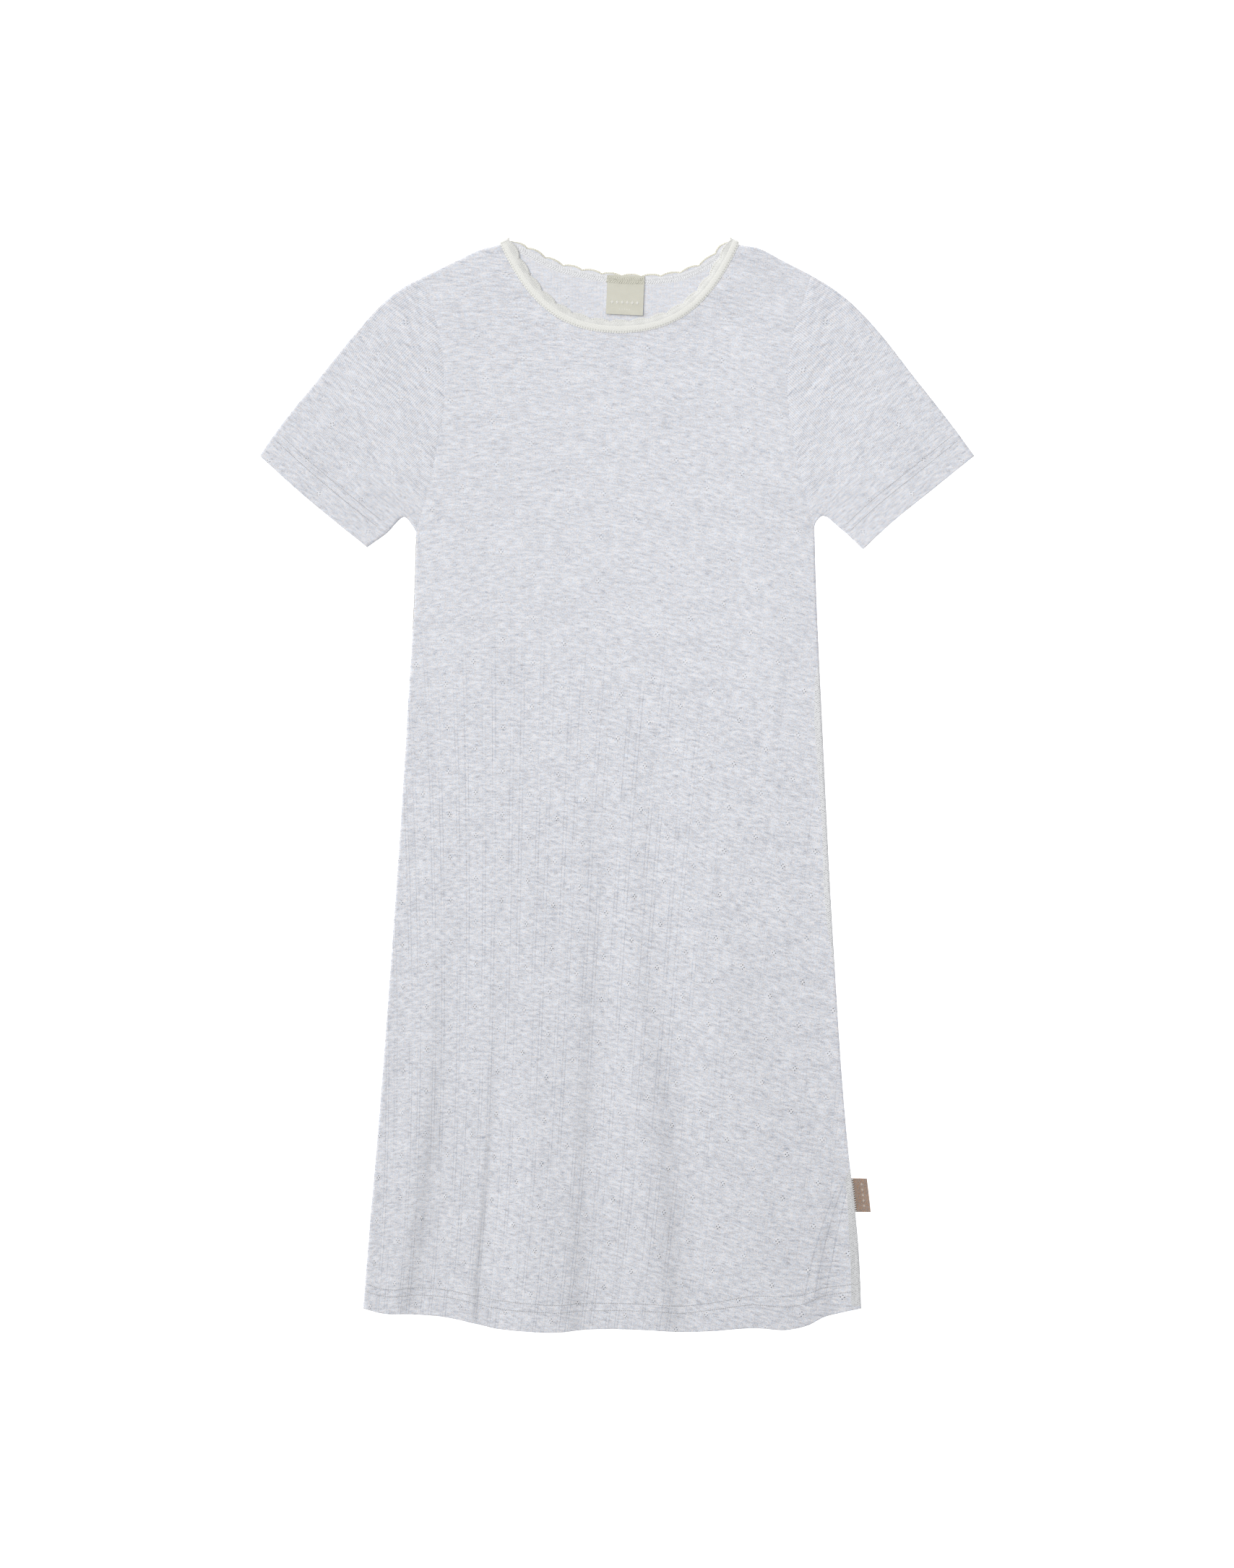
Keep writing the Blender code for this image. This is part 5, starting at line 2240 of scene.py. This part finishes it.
def lozenge(x: float, y: float, half_width: float, half_height: float) -> Array:
    """The corners of a lozenge about a place, anticlockwise from the left one."""
    across, up = half_width, half_height
    return np.array([(x - across, y), (x, y - up), (x + across, y), (x, y + up)])


def diamond_piece(name: str, shapes: list[Array], height: Face) -> Piece:
    """Small flat lozenges of thread.

    Args:
        name: The piece's name.
        shapes: Each lozenge's four corners in plan, anticlockwise.
        height: The height of the lozenges' lower face at a place.

    Returns:
        All the lozenges as one object.
    """
    points, faces = [], []
    for corners in shapes:
        start = len(points)
        middle = corners.mean(axis=0)
        ring = [middle + (corner - middle) * 0.8 for corner in corners]
        points += [(x, y, float(height(x, y)) - 0.1 * MM) for x, y in corners]
        points += [(x, y, float(height(x, y)) + 0.08 * MM) for x, y in ring]
        for spot in range(4):
            after = (spot + 1) % 4
            faces.append((start + spot, start + after, start + 4 + after, start + 4 + spot))
        faces.append(tuple(start + 4 + spot for spot in range(4)))
        faces.append(tuple(start + spot for spot in (3, 2, 1, 0)))
    return mesh_piece(name, np.array(points), faces, 20.0)


@dataclass
class NeckLabel:
    """A woven label sewn flat inside the back neck, with two rows of small woven diamonds."""

    drape: Drape
    centre: tuple[float, float] = (5.5 * MM, 327.95 * MM)
    width: float = 24.8 * MM
    length: float = 26.3 * MM
    turn: float = math.radians(-2.6)
    wall: float = 0.55 * MM
    gap: float = 0.25 * MM
    columns: int = 26
    rows: int = 28
    curl: float = 0.35 * MM
    curl_from: float = 0.28
    curl_run: float = 0.22
    mark_lift: float = 0.1 * MM
    mark_slimness: float = 0.8
    # of each row of marks: y and half height, then the marks' x, in mm
    mark_rows: tuple[Row, ...] = (
        (-5, 1.25, -8.5, -5.1, -1.7, 1.7, 5.1, 8.5), (-9.6, 0.6, -3.3, -1.65, 0, 1.65, 3.3),
    )

    def plan(self, across: Array, up: Array) -> Array:
        """Places in plan for places on the label, both measured from its middle.

        Args:
            across: The places across the label.
            up: The places up it.

        Returns:
            The places, along a new last axis.
        """
        cos, sin = math.cos(self.turn), math.sin(self.turn)
        x = self.centre[0] + across * cos - up * sin
        y = self.centre[1] + across * sin + up * cos
        return np.stack([x, y], axis=-1)

    def face(self, x: Array, y: Array) -> Array:
        """The height of the label's upper face."""
        return self.drape.back_top(x, y) + self.gap + self.wall

    def build(self, material: Material, marks: Material) -> list[Piece]:
        """Build the label and its woven marks.

        Args:
            material: The label's finish.
            marks: The marks' finish.

        Returns:
            The label and the marks.
        """
        u = np.linspace(-0.5, 0.5, self.columns + 1)
        v = np.linspace(-0.5, 0.5, self.rows + 1)
        across, up = np.meshgrid(u * self.width, v * self.length)
        curl = self.curl * smoothstep((-up / self.length - self.curl_from) / self.curl_run)
        plan = self.plan(across, up)
        base = self.drape.back_top(plan[..., 0], plan[..., 1]) + self.gap + curl
        lower = np.concatenate([plan, base[..., None]], axis=-1)
        upper = lower + np.array([0.0, 0.0, self.wall])
        piece = shell_piece("neck_label_cloth", lower, upper, "strip", pairs(across, up) / MM)
        finish_piece(piece, material, Slot.SAGE)
        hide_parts("neck_label")
        shapes = []
        for y, half, *places in self.mark_rows:
            for x in places:
                corners = lozenge(x, y, half * self.mark_slimness, half) * MM
                shapes.append(self.plan(corners[:, 0], corners[:, 1]))
        woven = diamond_piece("neck_label_marks", shapes, self.mark_face)
        return [piece, finish_piece(woven, marks, Slot.SAGE)]

    def mark_face(self, x: Array, y: Array) -> Array:
        """The height at which the marks lie."""
        return self.face(x, y) + self.mark_lift


@dataclass
class SideLabel:
    """A folded woven label held in the right side seam, with a column of woven diamonds."""

    drape: Drape
    top_y: float = -264.6 * MM
    length: float = 22.6 * MM
    width: float = 10.3 * MM
    seam_gap: float = 0.05 * MM
    drop: float = 0.65 * MM
    tilt: float = 0.2 * MM
    settle: float = 1.6
    wall: float = 0.9 * MM
    columns: int = 16
    rows: int = 22
    mark_lift: float = 0.1 * MM
    marks: int = 5
    # shares of the width and the length
    mark_across: float = 0.62
    mark_from: float = 0.18
    mark_pitch: float = 0.16
    mark_halves: Row = (0.085, 0.045)
    thread_at: float = 0.035
    thread_ends: Row = (0.01, 0.99)
    thread_radius: float = 0.36 * MM
    loop: Stitch = Stitch(1.15 * MM, 0.75 * MM, 0.4 * MM)
    loop_at: float = 0.05
    loop_lift: float = 0.4 * MM
    loop_pitch: float = 1.5 * MM
    loop_lean: Row = (0.95, 0.3, -0.06)

    def place(self, share: Array, v: Array) -> Array:
        """The points of the label's lower face.

        Args:
            share: The places from the seam to the free edge, from 0 to 1.
            v: The places from the lower edge to the upper, from 0 to 1.

        Returns:
            The points, along a new last axis.
        """
        seam_y = self.top_y - self.length * (1.0 - v)
        x = self.drape.cut.seam_x(Side.RIGHT, seam_y) + self.seam_gap + share * self.width
        z = self.drop * (1.0 - smoothstep(share * self.settle))
        return np.stack([x, seam_y - self.tilt * share, z], axis=-1)

    def build(self, material: Material, marks: Material) -> list[Piece]:
        """Build the label and its woven marks.

        Args:
            material: The label's finish.
            marks: The marks' finish.

        Returns:
            The label and the marks.
        """
        share, up = np.meshgrid(evenly(self.columns + 1), evenly(self.rows + 1))
        lower = self.place(share, up)
        upper = lower + np.array([0.0, 0.0, self.wall])
        uv = pairs(share * self.width, up * self.length) / MM
        piece = shell_piece("side_label_cloth", lower, upper, "strip", uv)
        finish_piece(piece, material, Slot.BROWN)
        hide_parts("side_label")
        shapes = []
        for mark in range(self.marks):
            middle = self.mark_from + self.mark_pitch * mark
            corners = lozenge(self.mark_across, middle, *self.mark_halves)
            shapes.append(self.place(corners[:, 0], corners[:, 1])[:, :2])
        top = self.wall + self.mark_lift
        woven = diamond_piece("side_label_marks", shapes, lambda x, y: top)
        return [piece, finish_piece(woven, marks, Slot.BROWN)]

    def held_edge_shade(self, material: Material) -> Piece:
        """A dark thread along the held edge, painted shade in the gaps between the seam's pale
        loops.

        Args:
            material: Its finish.

        Returns:
            The finished piece.
        """
        line = self.place(np.full(24, self.thread_at), np.linspace(*self.thread_ends, 24))
        line[:, 2] += self.wall
        piece = thread_piece("side_label_gap_shade", line, self.thread_radius)
        return finish_piece(piece, material, Slot.BROWN)

    def sewing(self, material: Material) -> Piece:
        """The seam's pale loops along the label's held edge.

        Args:
            material: Its finish.

        Returns:
            The finished piece.
        """
        count = round(self.length / self.loop_pitch)
        places = self.place(np.full(count, self.loop_at), (np.arange(count) + 0.5) / count)
        places[:, 2] += self.wall + self.loop_lift
        directions = np.tile(np.array(self.loop_lean), (count, 1))
        piece = self.loop.sew("side_label_stitches", places, directions)
        return finish_piece(piece, material, Slot.BROWN)


# ---- stitching


@dataclass
class Stitching:
    """The twin rows at hem and cuffs, and the covering stitch of the side seams."""

    drape: Drape
    cuff_rows: Row = (15.0, 20.0)
    pitch: float = 1.25 * MM
    lift: float = 0.05 * MM
    hem_ends: Row = (0.006, 0.991)
    cuff_ends: Row = (0.03, 0.965)
    cover_lift: float = 0.06 * MM
    cover_sink: float = 0.15 * MM
    cover_inset: float = 0.15 * MM
    cover_row: float = 1.6 * MM
    cover_columns: int = 13
    left_ends: Row = (166.0 * MM, 104.0 * MM)
    left_inset: float = 0.25 * MM
    left_sway: float = 0.1 * MM
    left_sways: float = 900.0
    left_radius: float = 0.3 * MM
    # a pale stitch, and a small dark mark between stitches that is painted shade of the needle's
    # hole
    shapes: tuple[Stitch, Stitch] = (
        Stitch(0.6 * MM, 0.4 * MM, 0.24 * MM), Stitch(0.56 * MM, 0.54 * MM, 0.2 * MM)
    )
    # y, width of the covering stitch that shows beside the right seam, in mm
    seam_band: tuple[Row, ...] = (
        (80.3, 0.6), (69, 3.6), (41.5, 5.3), (-2.2, 3.9), (-31, 3.2), (-70, 4.4),
        (-94, 3.5), (-109, 1.8), (-124, 0.6),
    )
    lower_band: tuple[Row, ...] = (
        (-259, 0.6), (-265.5, 4.2), (-285, 4.6), (-298, 5.4), (-327, 6), (-350.5, 6.4),
    )

    def on_front(self, plan: Array) -> Array:
        """Points in plan lifted just onto the front cloth."""
        z = self.drape.front_top(plan[..., 0], plan[..., 1]) + self.lift
        return np.concatenate([plan, z[..., None]], axis=-1)

    def rows(
        self, name: str, lines: Sequence[Array], materials: Sequence[Material]
    ) -> list[Piece]:
        """Rows of short stitches, with a small dark mark between each and the next, painted shade
        of the needle's hole.

        Args:
            name: The stitches' name; the painted hole shade takes the same name and "_holes".
            lines: The rows' lines in space.
            materials: The finishes of the stitches and of the painted hole shade.

        Returns:
            The stitches and the painted hole shade.
        """
        pieces = []
        kinds = (("", 0.5), ("_hole_shade", 1.0))
        for (kind, start), stitch, material in zip(kinds, self.shapes, materials):
            sewn = [stitch_line(line, self.pitch, start) for line in lines]
            piece = stitch.sew(name + kind, *(np.vstack(part) for part in zip(*sewn)))
            pieces.append(finish_piece(piece, material, Slot.JERSEY))
        return pieces

    def hem(self, materials: Sequence[Material]) -> list[Piece]:
        """The two rows of the hem.

        Args:
            materials: The finishes of the stitches and of the painted hole shade.

        Returns:
            The stitches and the painted hole shade.
        """
        edge = self.drape.cut.hem.at(np.linspace(*self.hem_ends, 400))
        lines = [
            self.on_front(edge + np.column_stack([np.zeros(len(edge)), height]))
            for height in self.drape.sewing_at(edge[:, 0])
        ]
        return self.rows("hem_stitches", lines, materials)

    def cuff(self, side: Side, materials: Sequence[Material]) -> list[Piece]:
        """The two rows of a cuff.

        Args:
            side: Which side.
            materials: The finishes of the stitches and of the painted hole shade.

        Returns:
            The stitches and the painted hole shade.
        """
        path = self.drape.cut.cuff_edges[side.value]
        shares = np.linspace(*self.cuff_ends, 200)
        inward = path.normal(shares) * (-1.0 if side is Side.LEFT else 1.0)
        lines = [self.on_front(path.at(shares) + inward * row * MM) for row in self.cuff_rows]
        return self.rows(f"cuff_stitches_{side.name.lower()}", lines, materials)

    def covering(self, name: str, rows: Sequence[Row], material: Material) -> Piece:
        """The covering stitch that shows beside the right seam.

        Args:
            name: The piece's name.
            rows: The table of heights and widths.
            material: Its finish.

        Returns:
            The finished piece.
        """
        heights, widths = np.array(rows)[::-1].T * MM
        count = round((heights[-1] - heights[0]) / self.cover_row)
        y = np.linspace(heights[0], heights[-1], count)[:, None]
        reach = np.interp(y, heights, widths) * evenly(self.cover_columns)[::-1]
        x = self.drape.cut.seam_x(Side.RIGHT, y) - self.cover_inset - reach
        top = self.drape.front_top
        uv = pairs(y, reach) / MM
        piece = laid_strip(name, pairs(x, y), uv, top, self.cover_lift, self.cover_sink)
        return finish_piece(piece, material, Slot.JERSEY)

    def left_thread(self, material: Material) -> Piece:
        """The seam's thread that shows along the left edge below the underarm.

        Args:
            material: Its finish.

        Returns:
            The finished piece.
        """
        y = np.linspace(*self.left_ends, 90)
        x = self.drape.cut.seam_x(Side.LEFT, y) + self.left_inset
        line = self.on_front(pairs(x + self.left_sway * np.sin(y * self.left_sways), y))
        piece = thread_piece("left_seam_thread", line, self.left_radius)
        return finish_piece(piece, material, Slot.JERSEY)


# ---- studio


@dataclass
class Studio:
    """A white table, soft light from above and a camera straight over the garment."""

    height: float = 2.5
    view_height: float = 1053.0 * MM
    sensor: float = 36.0
    clip_end: float = 20.0
    world: float = 0.22
    sun_power: float = 2.5
    sun_from: Row = (-0.60, 0.42, 0.68)
    sun_angle: float = math.radians(50.0)
    top_power: float = 3.0
    top_size: Row = (1.0, 0.4)
    top_at: Row = (0.06, 0.2, 0.95)
    table_size: float = 6.0
    table_drop: float = 0.3 * MM
    table_grain: float = 900.0
    table_tones: tuple[Colour, Colour] = ((0.88, 0.88, 0.88), (0.92, 0.92, 0.92))

    def floor(self) -> Piece:
        """The white surface that the garment lies on.

        Returns:
            The surface.
        """
        bpy.ops.object.select_all(action="DESELECT")
        bpy.ops.mesh.primitive_plane_add(size=self.table_size, location=(0.0, 0.0, 0.0))
        floor = bpy.context.active_object
        floor.name = floor.data.name = "table"
        for vertex in floor.data.vertices:
            vertex.co.z = -self.table_drop
        sketch = Sketch("white_table", roughness=0.8, sheen=0.0)
        grain = sketch.add("ShaderNodeTexNoise")
        sketch.feed(grain.inputs["Vector"], sketch.add("ShaderNodeTexCoord").outputs["Object"])
        grain.inputs["Scale"].default_value = self.table_grain
        sketch.shader.inputs["Emission Color"].default_value = (1.0, 1.0, 1.0, 1.0)
        sketch.shader.inputs["Emission Strength"].default_value = 1.0
        shade = sketch.blend(grain.outputs[0], *self.table_tones)
        floor.data.materials.append(sketch.close(shade, 0.0))
        return floor

    def lamp(self, name: str, kind: str, power: float) -> Piece:
        """Add a lamp of this kind and power.

        Args:
            name: The lamp's name.
            kind: Its type.
            power: Its power.

        Returns:
            The lamp.
        """
        light = bpy.data.lights.new(name, kind)
        light.energy = power
        lamp = bpy.data.objects.new(name, light)
        bpy.context.scene.collection.objects.link(lamp)
        return lamp

    def sun(self) -> None:
        """An even, wide lamp from the upper left."""
        lamp = self.lamp("key", "SUN", self.sun_power)
        lamp.data.angle = self.sun_angle
        x, y, z = np.array(self.sun_from) / np.linalg.norm(self.sun_from)
        lamp.rotation_euler = (math.acos(z), 0.0, math.atan2(x, -y))

    def top_lamp(self) -> None:
        """A weak, wide lamp over the chest, so that the skirt darkens towards its hem."""
        lamp = self.lamp("top", "AREA", self.top_power)
        lamp.data.shape = "RECTANGLE"
        lamp.data.size, lamp.data.size_y = self.top_size
        lamp.location = self.top_at

    def camera(self) -> None:
        """A camera straight over the origin."""
        data = bpy.data.cameras.new("camera")
        data.sensor_width = self.sensor
        data.lens = self.sensor * self.height / self.view_height
        data.clip_end = self.clip_end
        camera = bpy.data.objects.new("camera", data)
        camera.location = (0.0, 0.0, self.height)
        bpy.context.scene.collection.objects.link(camera)
        bpy.context.scene.camera = camera

    def build(self) -> None:
        """Set up the surface, the light and the camera."""
        self.floor()
        scene = bpy.context.scene
        scene.view_settings.view_transform = "Standard"
        scene.world = bpy.data.worlds.new("studio")
        scene.world.use_nodes = True
        background = scene.world.node_tree.nodes["Background"]
        background.inputs[0].default_value = (1.0, 1.0, 1.0, 1.0)
        background.inputs[1].default_value = self.world
        self.sun()
        self.top_lamp()
        self.camera()


# ---- the garment


# of the left and the right sleeve: the cut's width all round the tube, and its length; its area
SLEEVE_CUTS = ((0.235, 0.162), (0.240, 0.164))
SLEEVE_AREAS = (0.0264, 0.0265)


def main() -> None:
    """Build the dress and light it."""
    cut = Cut()
    drape = Drape(cut)
    finishes = Finishes()
    front = BodyPanel("front_cloth", "front_panel", drape, is_front=True, neck_columns=116)
    back = BodyPanel("back_cloth", "back_panel", drape, is_front=False, neck_columns=130)
    front, back = front.build(finishes.front), back.build(finishes.back)
    sleeves = [
        Sleeve(f"{node}_cloth", node, drape, side).build(finishes.sleeve)
        for side, node in ((Side.LEFT, "sleeve_left"), (Side.RIGHT, "sleeve_right"))
    ]
    trim = NeckTrim(drape)
    trim.band(finishes.elastic)
    trim.lace(finishes.lace)
    trim.cord(finishes.cord)
    neck_edge_shadow = trim.edge_shadow_dots(finishes.shade)
    neck_label = NeckLabel(drape)
    label, label_marks = neck_label.build(finishes.sage, finishes.white)
    back_cover = BackCover(cut)
    back_pair = (finishes.back_cover, finishes.back_sewing)
    back_stitches = back_cover.build("back_neck_cover", (0.02, 0.98), drape.back_top, back_pair)
    sage_pair = (finishes.sage_cover, finishes.sage_sewing)
    label_stitches = back_cover.build("label_cover", (0.441, 0.591), neck_label.face, sage_pair)
    tag = SideLabel(drape)
    side_label, side_marks = tag.build(finishes.brown, finishes.brown_mark)
    side_gap_shade = tag.held_edge_shade(finishes.dark_gap_shade)
    side_stitches = tag.sewing(finishes.seam)
    stitching = Stitching(drape)
    sewn_pair = (finishes.sewing, finishes.shade)
    hem_stitches = stitching.hem(sewn_pair)
    cuff_stitches = [stitching.cuff(side, sewn_pair) for side in Side]
    upper_band, lower_band = stitching.seam_band, stitching.lower_band
    seam_upper = stitching.covering("side_seam_cover_upper", upper_band, finishes.cover)
    seam_lower = stitching.covering("side_seam_cover_lower", lower_band, finishes.shaded_lower_cover)
    seam_left = stitching.left_thread(finishes.seam)

    for sleeve, cut_size, area, stitches in zip(sleeves, SLEEVE_CUTS, SLEEVE_AREAS, cuff_stitches):
        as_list(stitches)

    Studio().build()


if __name__ == "__main__":
    main()
